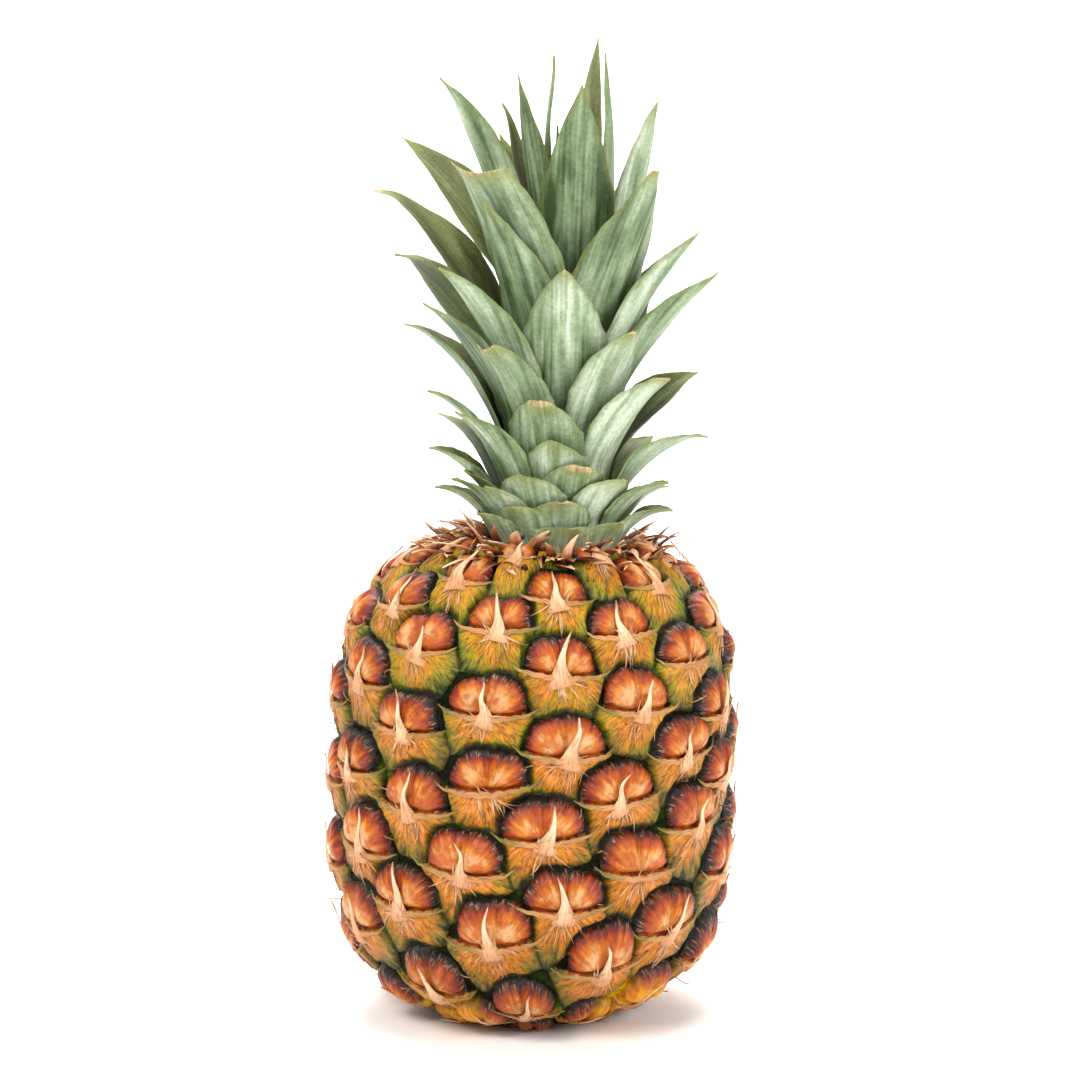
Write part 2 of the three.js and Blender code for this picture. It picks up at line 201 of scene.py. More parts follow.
@dataclass
class Barrel:
    """The fruit's barrel, and the even coordinates in which all its eyes are alike.

    Every point of the skin has an even place (x, y) in millimetres: x runs round the fruit and y climbs it.
    In even places the eyes form one regular lattice, and near the poles the real skin squeezes it.
    The numbers of the spiral, from pair_turn to sideways_rise, are rounded results of a separate fit.
    """

    radius: float = 59.3
    middle: float = 71.0
    half_height: float = 73.0
    shoulder_squareness: float = 3.4
    side_roundness: float = 2.5
    side_shift: float = 2.9
    pair_turn: float = 67.6
    start_turn: float = 7.25
    start_rise: float = 95.3
    pair_rise: float = 2.92
    pair_rise_loss: float = 0.012
    sideways_rise: float = 4.5
    bottom_crowding: float = 25.0
    top_crowding: float = 12.0
    steps: int = 4000

    def __post_init__(self) -> None:
        """List height, radius, skin length and rise from pole to pole."""
        angle = np.linspace(0.0, math.pi, self.steps + 1)
        self.z = self.middle - self.half_height * np.cos(angle)
        to_pole = np.clip(np.abs(self.z - self.middle) / self.half_height, 0.0, 1.0)
        self.reach = self.radius * (1.0 - to_pole**self.shoulder_squareness) ** (1.0 / self.side_roundness)
        self.reach[0] = 0.0
        self.reach[-1] = 0.0
        step = np.hypot(np.diff(self.z), np.diff(self.reach))
        self.skin = np.concatenate([[0.0], np.cumsum(step)])
        weight = (self.reach[1:] + self.reach[:-1]) / (2.0 * self.radius)
        self.rise = np.concatenate([[0.0], np.cumsum(step * weight)])
        self.top_rise = float(self.rise[-1])

    def settle(self, even_rise: np.ndarray) -> tuple[np.ndarray, np.ndarray]:
        """Crowd the eyes toward the poles.

        Args:
            even_rise: rise with even spacing.

        Returns:
            The real rise, and the scale of the eyes there.
        """
        low = np.exp(np.minimum(even_rise - self.bottom_crowding, 0.0) / self.bottom_crowding)
        from_top = self.top_rise - even_rise
        high = np.exp(np.minimum(from_top - self.top_crowding, 0.0) / self.top_crowding)
        rise = np.where(even_rise < self.bottom_crowding, self.bottom_crowding * low, even_rise)
        rise = np.where(from_top < self.top_crowding, self.top_rise - self.top_crowding * high, rise)
        return rise, np.sqrt(low * high)

    def unsettle(self, rise: np.ndarray) -> np.ndarray:
        """Give back the even rise for a real rise.

        Args:
            rise: the real rise.

        Returns:
            The rise with even spacing.
        """
        bottom, top = self.bottom_crowding, self.top_crowding
        low = bottom * (1.0 + np.log(np.maximum(rise, 1e-3) / bottom))
        from_top = np.maximum(self.top_rise - rise, 1e-3)
        high = self.top_rise - top * (1.0 + np.log(from_top / top))
        even = np.where(rise < bottom, low, rise)
        return np.where(from_top < top, high, even)

    def pair_at(self, turn: np.ndarray, even_rise: np.ndarray) -> np.ndarray:
        """Give the pair number, with fractions, that grows at a turn (radians) and an even rise.

        Args:
            turn: the way round, in radians.
            even_rise: rise with even spacing.

        Returns:
            The pair numbers.
        """
        climb = even_rise - self.sideways_rise * np.sin(turn) - self.start_rise
        inside = np.maximum(self.pair_rise**2 - 4.0 * self.pair_rise_loss * climb, 0.0)
        return (self.pair_rise - np.sqrt(inside)) / (2.0 * self.pair_rise_loss)

    def even_y(self, turn: np.ndarray, pair: np.ndarray) -> np.ndarray:
        """Give the even height of a pair number at a turn in radians.

        Args:
            turn: the way round, in radians.
            pair: the pair number.

        Returns:
            The even height in millimetres.
        """
        return self.pair_rise * pair + self.sideways_rise * np.sin(turn)

    def place(self, even_x: np.ndarray, even_y: np.ndarray, lift: np.ndarray) -> np.ndarray:
        """Turn even places into points.

        Args:
            even_x: even places round the fruit, in millimetres.
            even_y: even places up the fruit.
            lift: height over the barrel for a full-sized eye.

        Returns:
            N x 3 positions in millimetres.
        """
        turn = even_x / self.radius
        pair = (even_y - self.sideways_rise * np.sin(turn)) / self.pair_rise
        climb = self.pair_rise * pair - self.pair_rise_loss * pair * pair
        rise, scale = self.settle(self.start_rise + climb + self.sideways_rise * np.sin(turn))
        return self.point_at_rise(turn, rise, lift * scale)

    def point_at_rise(self, turn: np.ndarray, rise: np.ndarray, lift: np.ndarray) -> np.ndarray:
        """Turn a turn in radians, a real rise and a lift into N x 3 points.

        Args:
            turn: the way round, in radians.
            rise: the real rise.
            lift: height over the barrel.

        Returns:
            Positions in millimetres.
        """
        reach = np.interp(rise, self.rise, self.reach)
        z = np.interp(rise, self.rise, self.z)
        slope_z = np.interp(rise, self.rise, np.gradient(self.z))
        slope_reach = np.interp(rise, self.rise, np.gradient(self.reach))
        length = np.maximum(np.hypot(slope_z, slope_reach), 1e-9)
        out = reach + lift * slope_z / length
        up = z - lift * slope_reach / length
        shift = self.side_shift * up / (2.0 * self.middle)
        return np.stack([out * np.sin(turn) + shift, -out * np.cos(turn), up], axis=-1)


# How far single eyes stand off the even spiral: (pair, side) to degrees round and millimetres up.
# These amounts are the rounded output of a separate fitting program. report.md lists them as a rule not kept.
GROWN_OFF = {
    (-24, 1): (-6, -3), (-22, 0): (7, 0), (-21, 0): (-5, 1), (-19, 1): (7, 5), (-18, 1): (-6, -1),
    (-16, 0): (4, 4), (-13, 1): (3, 2), (-11, 0): (-3, 1), (-10, 0): (2, 2), (-9, 1): (6, -1),
    (-8, 1): (-3, 0), (-7, 1): (-7, 3), (-6, 0): (3, 3), (-5, 0): (-4, -1), (-3, 1): (3, 0),
    (-2, 1): (-4, -1), (-1, 0): (-1, -3), (0, 0): (2, -1), (1, 0): (-8, -1), (2, 1): (-1, 2),
    (5, 0): (1, -2), (6, 0): (-1, 2), (8, 1): (0, -1), (10, 0): (-1, 2), (11, 0): (-2, -1),
    (13, 1): (2, -1), (14, 1): (-4, 2), (15, 0): (5, 0), (16, 0): (-1, -3), (18, 1): (4, 0),
}


class Eye(NamedTuple):
    """One eye of the fruit: its even place, its own size and shape, and its own number."""

    x: float
    y: float
    half_width: float
    height: float
    tilt: float
    swell: float
    spike: float
    lean: float
    seed: float
    scale: float


@dataclass
class EyePattern:
    """All the eyes, laid out in pairs that climb the barrel in spirals."""

    barrel: Barrel
    lowest_pair: int = -40
    highest_pair: int = 27
    half_width: float = 11.6
    height: float = 11.7
    eyes: list[Eye] = field(default_factory=list)

    def __post_init__(self) -> None:
        """Lay out the eyes, each a little unlike the next."""
        rng = np.random.default_rng(7)
        for pair in range(self.lowest_pair, self.highest_pair + 1):
            for side in (0, 1):
                draw = rng.uniform(-1.0, 1.0, 8)
                turned, raised = GROWN_OFF.get((pair, side), (1.2 * draw[0], 0.8 * draw[1]))
                degrees = self.barrel.start_turn + self.barrel.pair_turn * pair + 180 * side + turned
                turn = math.radians(degrees)
                y = float(self.barrel.even_y(np.array(turn), np.array(float(pair)))) + raised
                climbed = self.barrel.pair_rise * pair
                even_rise = self.barrel.start_rise + climbed - self.barrel.pair_rise_loss * pair**2
                _, scale = self.barrel.settle(np.array(even_rise))
                self.eyes.append(
                    Eye(
                        x=turn * self.barrel.radius,
                        y=y,
                        half_width=self.half_width * (1.0 + 0.05 * draw[2]),
                        height=self.height * (1.0 + 0.05 * draw[3]),
                        tilt=0.09 * draw[4],
                        swell=1.0 + 0.16 * draw[5],
                        spike=9.4 + 2.8 * draw[6],
                        lean=0.32 * draw[7],
                        seed=float(rng.random()),
                        scale=float(scale),
                    )
                )


def lip_height(u: np.ndarray) -> np.ndarray:
    """Give the height of a bract's free edge, which sags in the middle and climbs to its corners.

    Args:
        u: distance aside from the middle of the eye, in millimetres.

    Returns:
        The height over the middle of the eye.
    """
    return -0.6 + 1.9 * (np.abs(u) / 14.0) ** 1.9


class Grain(Enum):
    """How finely the skin is modelled, as the distance between its points in millimetres."""

    FINE = 0.45
    QUICK = 0.9


@dataclass
class Rind:
    """The skin of the fruit: a dome and a bract for every eye, with deep grooves between the domes."""

    barrel: Barrel
    pattern: EyePattern
    grain: Grain
    floor_depth: float = -2.9
    dome_swell: float = 3.9
    bract_swell: float = 2.7
    bract_foot: float = 1.0
    crown_x: float = 8.2
    crown_dish: float = 4.5
    widest_at: float = 1.5
    lower_reach: float = 4.0
    cell_drop: float = 0.9
    bract_fan_top: float = 3.0
    search_reach: float = 24.0
    patch_width: float = 0.36
    patch_height: float = 0.07
    ripe_patches: tuple[tuple[float, float, float], ...] = (
        (-34, 0.085, 1.0), (44, 0.10, 0.9), (-8, 0.05, 0.45),
        (110, 0.09, 0.8), (190, 0.07, 1.0), (-110, 0.11, 0.7),
    )

    def __post_init__(self) -> None:
        """Lay a grid over the barrel and find the eyes that every point belongs to."""
        skin_length = self.barrel.skin[-1]
        rows = int(skin_length / self.grain.value)
        self.columns = int(2 * math.pi * self.barrel.radius / self.grain.value)
        along = np.linspace(0.6, skin_length - 0.6, rows)
        self.rise = np.interp(along, self.barrel.skin, self.barrel.rise)
        self.turn = np.arange(self.columns) * 2 * math.pi / self.columns
        even_rise = self.barrel.unsettle(self.rise)[:, None] + np.zeros(self.columns)[None, :]
        turn = self.turn[None, :] + np.zeros((rows, 1))
        self.scale = self.barrel.settle(even_rise)[1]
        self.x = turn * self.barrel.radius
        self.y = self.barrel.even_y(turn, self.barrel.pair_at(turn, even_rise))
        self.shape = self.x.shape
        self._find_eyes()
        self._raise_relief()

    def _find_eyes(self) -> None:
        """For each point, find the nearest domes and the eye whose cell it lies in."""
        full = self.shape
        self.dome = np.full(full, 9.0)
        self.next_dome = np.full(full, 9.0)
        self.dome_eye = np.zeros(full, dtype=int)
        self.dome_u = np.zeros(full)
        self.dome_v = np.zeros(full)
        self.cell = np.full(full, 1e6)
        self.next_cell = np.full(full, 1e6)
        self.cell_eye = np.zeros(full, dtype=int)
        self.cell_u = np.zeros(full)
        self.cell_v = np.zeros(full)
        around = 2 * math.pi * self.barrel.radius
        spread = int(self.search_reach / around * self.columns) + 1
        for number, eye in enumerate(self.pattern.eyes):
            centre = int(round((eye.x % around) / around * self.columns))
            cols = np.arange(centre - spread, centre + spread + 1) % self.columns
            rows = np.nonzero(np.abs(self.y[:, centre % self.columns] - eye.y) < self.search_reach + 2.0)[0]
            if len(rows) == 0:
                continue
            patch = np.ix_(rows, cols)
            u = (self.x[patch] - eye.x + around / 2) % around - around / 2
            v = self.y[patch] - eye.y
            v = v - eye.tilt * u
            above = np.maximum(v - self.widest_at, 0.0) / (eye.height - self.widest_at)
            below = np.maximum(self.widest_at - v, 0.0) / self.lower_reach
            dome = (np.abs(u) / eye.half_width) ** 2.9 + above**2.5 + below**2.3
            fan = np.arctan2(v + self.widest_at, u)
            uneven = 0.13 * np.sin(2 * fan + 40 * eye.seed) + 0.09 * np.sin(5 * fan + 77 * eye.seed)
            frayed = 0.06 * np.sin(17 * fan + 130 * eye.seed) * np.sin(7 * fan + 11 * eye.seed)
            dome = dome * (1.0 + uneven + frayed)
            cell = u * u + (v + self.cell_drop) ** 2

            best, second = self.dome[patch], self.next_dome[patch]
            nearer = dome < best
            self.next_dome[patch] = np.where(nearer, best, np.minimum(second, dome))
            for field_name, value in (("dome", dome), ("dome_eye", number), ("dome_u", u), ("dome_v", v)):
                store = getattr(self, field_name)
                store[patch] = np.where(nearer, value, store[patch])
            inside = cell < self.cell[patch]
            runner_up = np.minimum(self.next_cell[patch], cell)
            self.next_cell[patch] = np.where(inside, self.cell[patch], runner_up)
            for field_name, value in (("cell", cell), ("cell_eye", number), ("cell_u", u), ("cell_v", v)):
                store = getattr(self, field_name)
                store[patch] = np.where(inside, value, store[patch])

    def _raise_relief(self) -> None:
        """Work out how high every point stands over the groove floor."""
        swell = np.array([eye.swell for eye in self.pattern.eyes])
        own_height = np.array([eye.height for eye in self.pattern.eyes])
        self.is_dome = (self.dome < 1.0) & (self.dome_v > lip_height(self.dome_u))
        self.other_dome = np.where(self.dome_eye == self.cell_eye, self.next_dome, self.dome)
        lip = lip_height(self.cell_u)
        self.is_bract = ~self.is_dome & (self.cell_v < lip)

        top = own_height[self.dome_eye]
        rounded = np.sqrt(np.clip(1.0 - self.dome**2.0, 0.0, 1.0))
        lobe = np.exp(-(((np.abs(self.dome_u) - 5.2) / 3.6) ** 2 + ((self.dome_v - 0.42 * top) / 3.4) ** 2))
        split = np.exp(-((self.dome_u / 1.4) ** 2)) * smooth_step(0.5, 4.0, self.dome_v)
        tuck = np.exp(-(((self.dome_v - lip_height(self.dome_u)) / 1.3) ** 2))
        fan = np.arctan2(self.dome_v + self.widest_at, self.dome_u)
        seeds = np.array([eye.seed for eye in self.pattern.eyes])[self.dome_eye]
        folds = np.sin(fan * 36 + 50 * seeds) + 0.6 * np.sin(fan * 23 - 31 * seeds)
        rim = smooth_step(0.35, 0.8, self.dome) * (1.0 - smooth_step(0.9, 1.0, self.dome))
        dome = self.dome_swell * swell[self.dome_eye] * rounded + 1.0 * lobe - 1.0 * split + 0.2 * folds * rim
        dome = np.maximum(dome * (1.0 - 0.55 * tuck), 0.0)

        self.crease = smooth_step(0.0, 2.4, np.sqrt(self.next_cell) - np.sqrt(self.cell))
        self.clear = smooth_step(1.08, 1.55, self.other_dome) * (0.5 + 0.5 * self.crease)
        climb = np.clip((self.cell_v + 10.0) / (lip + 10.0), 0.0, 1.0)
        fold = np.exp(-((self.cell_u / 4.5) ** 2)) * climb
        side = 1.0 - 0.3 * np.clip(np.abs(self.cell_u) / 14.0, 0.0, 1.2) ** 2
        bract = (self.bract_foot + self.bract_swell * climb**0.9 * side + 0.5 * fold) * self.clear

        wrinkle = self._wrinkles()
        self.relief = np.where(self.is_dome, dome, np.where(self.is_bract, bract, 0.0))
        self.relief = np.maximum(self.relief + wrinkle * np.clip(self.relief, 0.0, 1.0), 0.0)

    def _wrinkles(self) -> np.ndarray:
        """Give the fine dry wrinkles that fan out from the middle of each eye.

        Returns:
            A height for each point of the grid.
        """
        seeds = np.array([eye.seed for eye in self.pattern.eyes])
        dome_seed, cell_seed = seeds[self.dome_eye] * 40.0, seeds[self.cell_eye] * 40.0
        fan = np.arctan2(self.dome_v + self.widest_at, self.dome_u)
        fan_down = np.arctan2(self.bract_fan_top - self.cell_v, self.cell_u)
        on_dome = np.sin(fan * 31 + dome_seed) + 0.8 * np.sin(fan * 19 - 2.0 * dome_seed)
        on_bract = np.sin(fan_down * 27 + cell_seed) + 0.8 * np.sin(fan_down * 17 - 2.0 * cell_seed)
        uneven = np.sin(self.x * 0.55 + np.sin(self.y * 0.4)) * np.sin(self.y * 0.6 + dome_seed * 0.2)
        return 0.07 * np.where(self.is_dome, on_dome, on_bract) + 0.12 * uneven

    def build(self, material: bpy.types.Material) -> bpy.types.Object:
        """Make the skin's mesh.

        Args:
            material: the rind's material.

        Returns:
            The rind.
        """
        turn = self.turn[None, :] + np.zeros((self.shape[0], 1))
        rise = self.rise[:, None] + np.zeros(self.shape)
        lift = (self.floor_depth + self.relief) * self.scale
        points = self.sink(self.barrel.point_at_rise(turn, rise, lift))

        rows, cols = self.shape
        index = np.arange(rows * cols).reshape(rows, cols)
        right = np.roll(index, -1, axis=1)
        quads = np.stack([index[:-1], right[:-1], right[1:], index[1:]], axis=-1).reshape(-1, 4)
        bottom, top = rows * cols, rows * cols + 1
        bottom_fan = np.stack([right[0], index[0], np.full(cols, bottom)], axis=-1)
        top_fan = np.stack([index[-1], right[-1], np.full(cols, top)], axis=-1)
        poles = np.stack([points[0].mean(axis=0), points[-1].mean(axis=0)])
        every = np.concatenate([points.reshape(-1, 3), poles])
        fans = np.concatenate([bottom_fan, top_fan])
        return mesh_object("rind", every, [quads, fans], self._attributes(), material)

    def sink(self, points: np.ndarray) -> np.ndarray:
        """Press points down round the crown's foot, and flatten them where the fruit stands.

        Args:
            points: positions in millimetres.

        Returns:
            The pressed positions.
        """
        off_crown = np.hypot(points[..., 0] - self.crown_x, points[..., 1])
        dish = self.crown_dish * (1.0 - smooth_step(17.0, 27.0, off_crown))
        sunk = points.copy()
        sunk[..., 2] -= np.where(points[..., 2] > self.barrel.middle, dish, 0.0)
        sunk[..., 2] = np.maximum(sunk[..., 2], 0.0)
        return sunk

    def _attributes(self) -> dict[str, np.ndarray]:
        """Give the values that the rind's material reads at each point.

        Returns:
            Three values at each point for every attribute.
        """
        eyes = self.pattern.eyes
        seeds = np.array([eye.seed for eye in eyes])
        heights = np.array([eye.height for eye in eyes])
        seed = np.where(self.is_dome, seeds[self.dome_eye], seeds[self.cell_eye])
        top = heights[self.dome_eye]
        lobe = np.hypot((np.abs(self.dome_u) - 4.4) / 7.6, (self.dome_v - 0.34 * top) / 7.2)
        ring = 0.6 * lobe + 0.4 * np.minimum(self.dome, 1.6)
        off_lip = lip_height(self.cell_u) - self.cell_v
        outer = np.hypot(off_lip / 15.5, self.cell_u / 18.0)
        outer = np.maximum(outer, 1.3 - 0.45 * np.minimum(self.other_dome, 3.0))
        outer = np.clip(np.maximum(outer, 0.95 - 0.5 * self.crease), 0.0, 1.3)
        dome_v, bract_v = self.dome_v + self.widest_at, self.bract_fan_top - self.cell_v
        fan = np.where(self.is_dome, np.arctan2(dome_v, self.dome_u), np.arctan2(bract_v, self.cell_u))
        radius = np.where(self.is_dome, np.hypot(dome_v, self.dome_u), np.hypot(bract_v, self.cell_u))
        height = self.rise[:, None] / self.barrel.top_rise + np.zeros(self.shape)
        fields = {
            "kind": (self.is_dome.astype(float), self.is_bract.astype(float), self.relief / 4.0),
            "shade": (ring, outer, np.minimum(self.other_dome, 3.0)),
            "fan": (fan * 9.0, radius * 0.16, seed * 97.0),
            "own": (seed, height, self._ripeness(height)),
        }
        poles = np.zeros((2, 3))
        return {
            key: np.concatenate([np.stack(v, axis=-1).reshape(-1, 3), poles]) for key, v in fields.items()
        }

    def _ripeness(self, height: np.ndarray) -> np.ndarray:
        """Give how yellow the skin has ripened: most of all in patches low on the sides.

        Args:
            height: share of the way up the fruit.

        Returns:
            A share from 0 to 1 for each point.
        """
        turn = self.turn[None, :]
        ripe = np.zeros(self.shape)
        for degrees, level, strength in self.ripe_patches:
            aside = np.angle(np.exp(1j * (turn - math.radians(degrees)))) / self.patch_width
            upward = (height - level) / self.patch_height
            ripe = np.maximum(ripe, strength * np.exp(-(aside**2) - upward**2))
        return ripe


# ---------------------------------------------------------------- blades: leaves, bract edges and spikes


@dataclass
class Blade:
    """A thin strip with a hollow and a back, closed at its edges and ends.

    The arrays hold one value, or one direction, for each station along the strip.
    """

    centres: np.ndarray
    across_dirs: np.ndarray
    hollow_dirs: np.ndarray
    half_widths: np.ndarray
    curls: np.ndarray
    thickness: np.ndarray
    columns: int = 9
    ripple: np.ndarray | None = None
    seed: float = 0.0
    dryness: float = 0.0

    def arrays(self) -> tuple[np.ndarray, np.ndarray, dict[str, np.ndarray]]:
        """Build the strip.

        Returns:
            Points, quads, and the point attributes: "place" in millimetres (across, along, face), "part" as
            shares of the strip (across, along, seed), and "age" (dryness, centimetres to the tip,
            millimetres to the edge).
        """
        across = np.linspace(-1.0, 1.0, self.columns)
        across = np.sign(across) * np.abs(across) ** 0.85
        stations = len(self.centres)
        curls = np.maximum(self.curls, 1e-3)[:, None]
        bow = self.half_widths[:, None] / curls
        angle = across[None, :] * curls
        rim = 1.0 - 0.75 * np.abs(across[None, :]) ** 2.5
        half = 0.5 * self.thickness[:, None] * rim
        extra = self.ripple if self.ripple is not None else np.zeros((stations, self.columns))
        sides = []
        for sign in (1.0, -1.0):
            radius = bow + sign * half
            aside = radius * np.sin(angle)
            inward = bow - radius * np.cos(angle) + extra
            sides.append(
                self.centres[:, None, :]
                + aside[..., None] * self.across_dirs[:, None, :]
                + inward[..., None] * self.hollow_dirs[:, None, :]
            )
        back, hollow = sides
        points = np.concatenate([back, hollow[:, ::-1]], axis=1)
        ring = 2 * self.columns
        index = np.arange(stations * ring).reshape(stations, ring)
        turned = np.roll(index, -1, axis=1)
        quads = [np.stack([index[:-1], turned[:-1], turned[1:], index[1:]], axis=-1).reshape(-1, 4)]
        for row, flip in ((index[0], True), (index[-1], False)):
            low, high = row[: self.columns], row[self.columns :][::-1]
            cap = np.stack([low[:-1], low[1:], high[1:], high[:-1]], axis=-1)
            quads.append(cap[:, ::-1] if flip else cap)

        along = np.concatenate([[0.0], np.cumsum(np.linalg.norm(np.diff(self.centres, axis=0), axis=1))])
        share = along / along[-1]
        ring_across = np.concatenate([across, across[::-1]])
        face = np.concatenate([np.ones(self.columns), -np.ones(self.columns)])
        grid = (stations, ring)
        widths = self.half_widths[:, None]
        fields = {
            "place": (ring_across * widths, along[:, None], face),
            "part": (ring_across, share[:, None], self.seed),
            "age": (self.dryness, (along[-1] - along[:, None]) / 10.0, (1.0 - np.abs(ring_across)) * widths),
        }
        attributes = {
            key: np.stack([np.broadcast_to(v, grid) for v in values], axis=-1).reshape(-1, 3)
            for key, values in fields.items()
        }
        return points.reshape(-1, 3), np.concatenate(quads), attributes


def join_blades(name: str, blades: list[Blade], material: bpy.types.Material) -> bpy.types.Object:
    """Join many blades in one mesh object.

    Args:
        name: the piece's name.
        blades: the blades to join.
        material: what they are made of.

    Returns:
        The new object.
    """
    points, quads, fields = [], [], []
    count = 0
    for blade in blades:
        blade_points, blade_quads, blade_fields = blade.arrays()
        points.append(blade_points)
        quads.append(blade_quads + count)
        fields.append(blade_fields)
        count += len(blade_points)
    attributes = {key: np.concatenate([each[key] for each in fields]) for key in fields[0]}
    return mesh_object(name, np.concatenate(points), [np.concatenate(quads)], attributes, material)


def directions(centres: np.ndarray, side: np.ndarray) -> tuple[np.ndarray, np.ndarray]:
    """Give the across and hollow directions of a blade.

    Args:
        centres: the blade's middle line.
        side: roughly which way its right edge lies at each station.

    Returns:
        Unit vectors across the blade, and unit vectors out of its hollow.
    """
    tangent = np.gradient(centres, axis=0)
    tangent /= np.linalg.norm(tangent, axis=1, keepdims=True)
    across = side - (side * tangent).sum(axis=1, keepdims=True) * tangent
    across /= np.linalg.norm(across, axis=1, keepdims=True)
    return across, np.cross(across, tangent) * -1.0


@dataclass
class BractEdges:
    """The free edge of every bract: a thin lip from corner to corner and a dry spike from its middle."""

    rind: Rind
    corner: float = 15.6
    lip_columns: int = 30

    def _strip(self, x: np.ndarray, y: np.ndarray, lift: np.ndarray) -> np.ndarray:
        """Place points over the skin, with their lift counted from the groove floor.

        Args:
            x: even places round the fruit.
            y: even places up the fruit.
            lift: height over the groove floor.

        Returns:
            Positions in millimetres.
        """
        return self.rind.sink(self.rind.barrel.place(x, y, self.rind.floor_depth + lift))

    def lip(self, eye: Eye, rng: np.random.Generator) -> Blade:
        """Make one lip.

        Args:
            eye: the eye it belongs to.
            rng: where its chance comes from.

        Returns:
            A thin blade that runs sideways and ends in two points.
        """
        part = np.linspace(-1.0, 1.0, self.lip_columns)
        left, right = self.corner + rng.uniform(-1.5, 1.2), self.corner + rng.uniform(-1.5, 1.2)
        u = np.where(part < 0, part * left, part * right)
        rough = 0.25 * np.sin(u * 1.7 + eye.seed * 60) + 0.15 * np.sin(u * 3.9 + eye.seed * 90)
        rise = rng.uniform(0.3, 2.0) * np.clip(np.abs(part) - 0.8, 0, 1) * 5.0
        v = lip_height(u) + eye.tilt * u - 0.6 + rough * (1 - np.abs(part)) + rise
        swell = self.rind.bract_foot + self.rind.bract_swell * (1.0 - 0.3 * (np.abs(u) / 14.0) ** 2)
        lift = swell + 0.5 * np.exp(-((u / 4.5) ** 2)) - 0.05
        lift = lift * (1.0 - 0.35 * smooth_step(0.75, 1.0, np.abs(part)))
        lift = lift + rng.uniform(0.0, 1.5) * smooth_step(0.7, 1.0, np.abs(part))
        centres = self._strip(eye.x + u, eye.y + v, lift)
        above = self._strip(eye.x + u, eye.y + v + 0.5, lift)
        up = above - centres
        across, hollow = directions(centres, up / np.linalg.norm(up, axis=1, keepdims=True))
        half = (0.75 * (1.0 - np.abs(part) ** 2.2) + 0.13) * eye.scale
        return Blade(
            centres, across, hollow, half, np.full(len(u), 0.5), np.full(len(u), 0.45 * eye.scale),
            columns=5, seed=eye.seed,
        )

    def spike(self, eye: Eye, rng: np.random.Generator) -> Blade:
        """Make one spike.

        Args:
            eye: the eye it belongs to.
            rng: where its chance comes from.

        Returns:
            A narrow blade with hollow sides that rises over the dome to a point.
        """
        stations = 16
        part = np.linspace(0.0, 1.0, stations)
        length = eye.spike
        stands_off = rng.uniform(0.2, 2.6)
        bow = rng.uniform(-1.8, 1.8)
        crook = rng.uniform(-0.6, 0.6)
        crooked = crook * np.sin(part * 9.0 + eye.seed * 30)
        u = eye.lean * length * part**1.2 + bow * np.sin(math.pi * part) + crooked
        v = -3.6 + (length + 3.6) * part
        base = self.rind.bract_foot + self.rind.bract_swell + 0.45
        lift = base + 0.55 * np.sin(math.pi * np.minimum(part * 1.3, 1.0)) + stands_off * part**2
        centres = self._strip(eye.x + u, eye.y + v, lift)
        beside = self._strip(eye.x + u + 0.5, eye.y + v, lift)
        side = beside - centres
        across, hollow = directions(centres, side / np.linalg.norm(side, axis=1, keepdims=True))
        wide = rng.uniform(0.85, 1.2)
        half = (4.4 * (1 - part) ** 4.2 + 1.15 * (1 - part) ** 0.8 + 0.08) * wide * eye.scale
        half = half * (0.7 + 0.3 * smooth_step(0.0, 0.12, part))
        return Blade(
            centres, across, hollow, half, np.full(stations, 0.8), np.full(stations, 0.5 * eye.scale),
            columns=7, seed=eye.seed,
        )

    def fibre(self, eye: Eye, rng: np.random.Generator) -> Blade:
        """Make one loose fibre that fans out from the foot of a spike over the bract or the dome.

        Args:
            eye: the eye it belongs to.
            rng: where its chance comes from.

        Returns:
            A thin blade.
        """
        stations = 9
        part = np.linspace(0.0, 1.0, stations)
        down = rng.random() < 0.72
        heading = math.radians(rng.uniform(-165.0, -15.0) if down else rng.uniform(5.0, 175.0))
        length = rng.uniform(4.5, 9.0) if down else rng.uniform(2.5, 5.5)
        curve = rng.uniform(-0.5, 0.5) - (0.25 * math.copysign(1.0, math.cos(heading)) if down else 0.0)
        angle = heading + curve * part
        start_u, start_v = rng.uniform(-2.4, 2.4), rng.uniform(-2.8, -0.4)
        u = start_u + length * part * np.cos(angle)
        v = start_v + length * part * np.sin(angle)
        below = np.clip((v + 10.0) / 9.4, 0.0, 1.0)
        on_bract = self.rind.bract_foot + self.rind.bract_swell * below**0.9
        on_dome = self.rind.bract_foot + self.rind.bract_swell + 0.6 * np.ones(stations)
        lift = np.where(v < -0.3, on_bract, on_dome) + 0.3 + rng.uniform(0.0, 0.8) * part**1.5
        centres = self._strip(eye.x + u, eye.y + v, lift)
        beside = self._strip(eye.x + u - 0.5 * np.sin(angle), eye.y + v + 0.5 * np.cos(angle), lift)
        side = beside - centres
        across, hollow = directions(centres, side / np.linalg.norm(side, axis=1, keepdims=True))
        half = rng.uniform(0.14, 0.42) * (1.0 - 0.8 * part) * eye.scale
        return Blade(
            centres, across, hollow, half, np.full(stations, 0.9), np.full(stations, 0.22),
            columns=3, seed=eye.seed,
        )

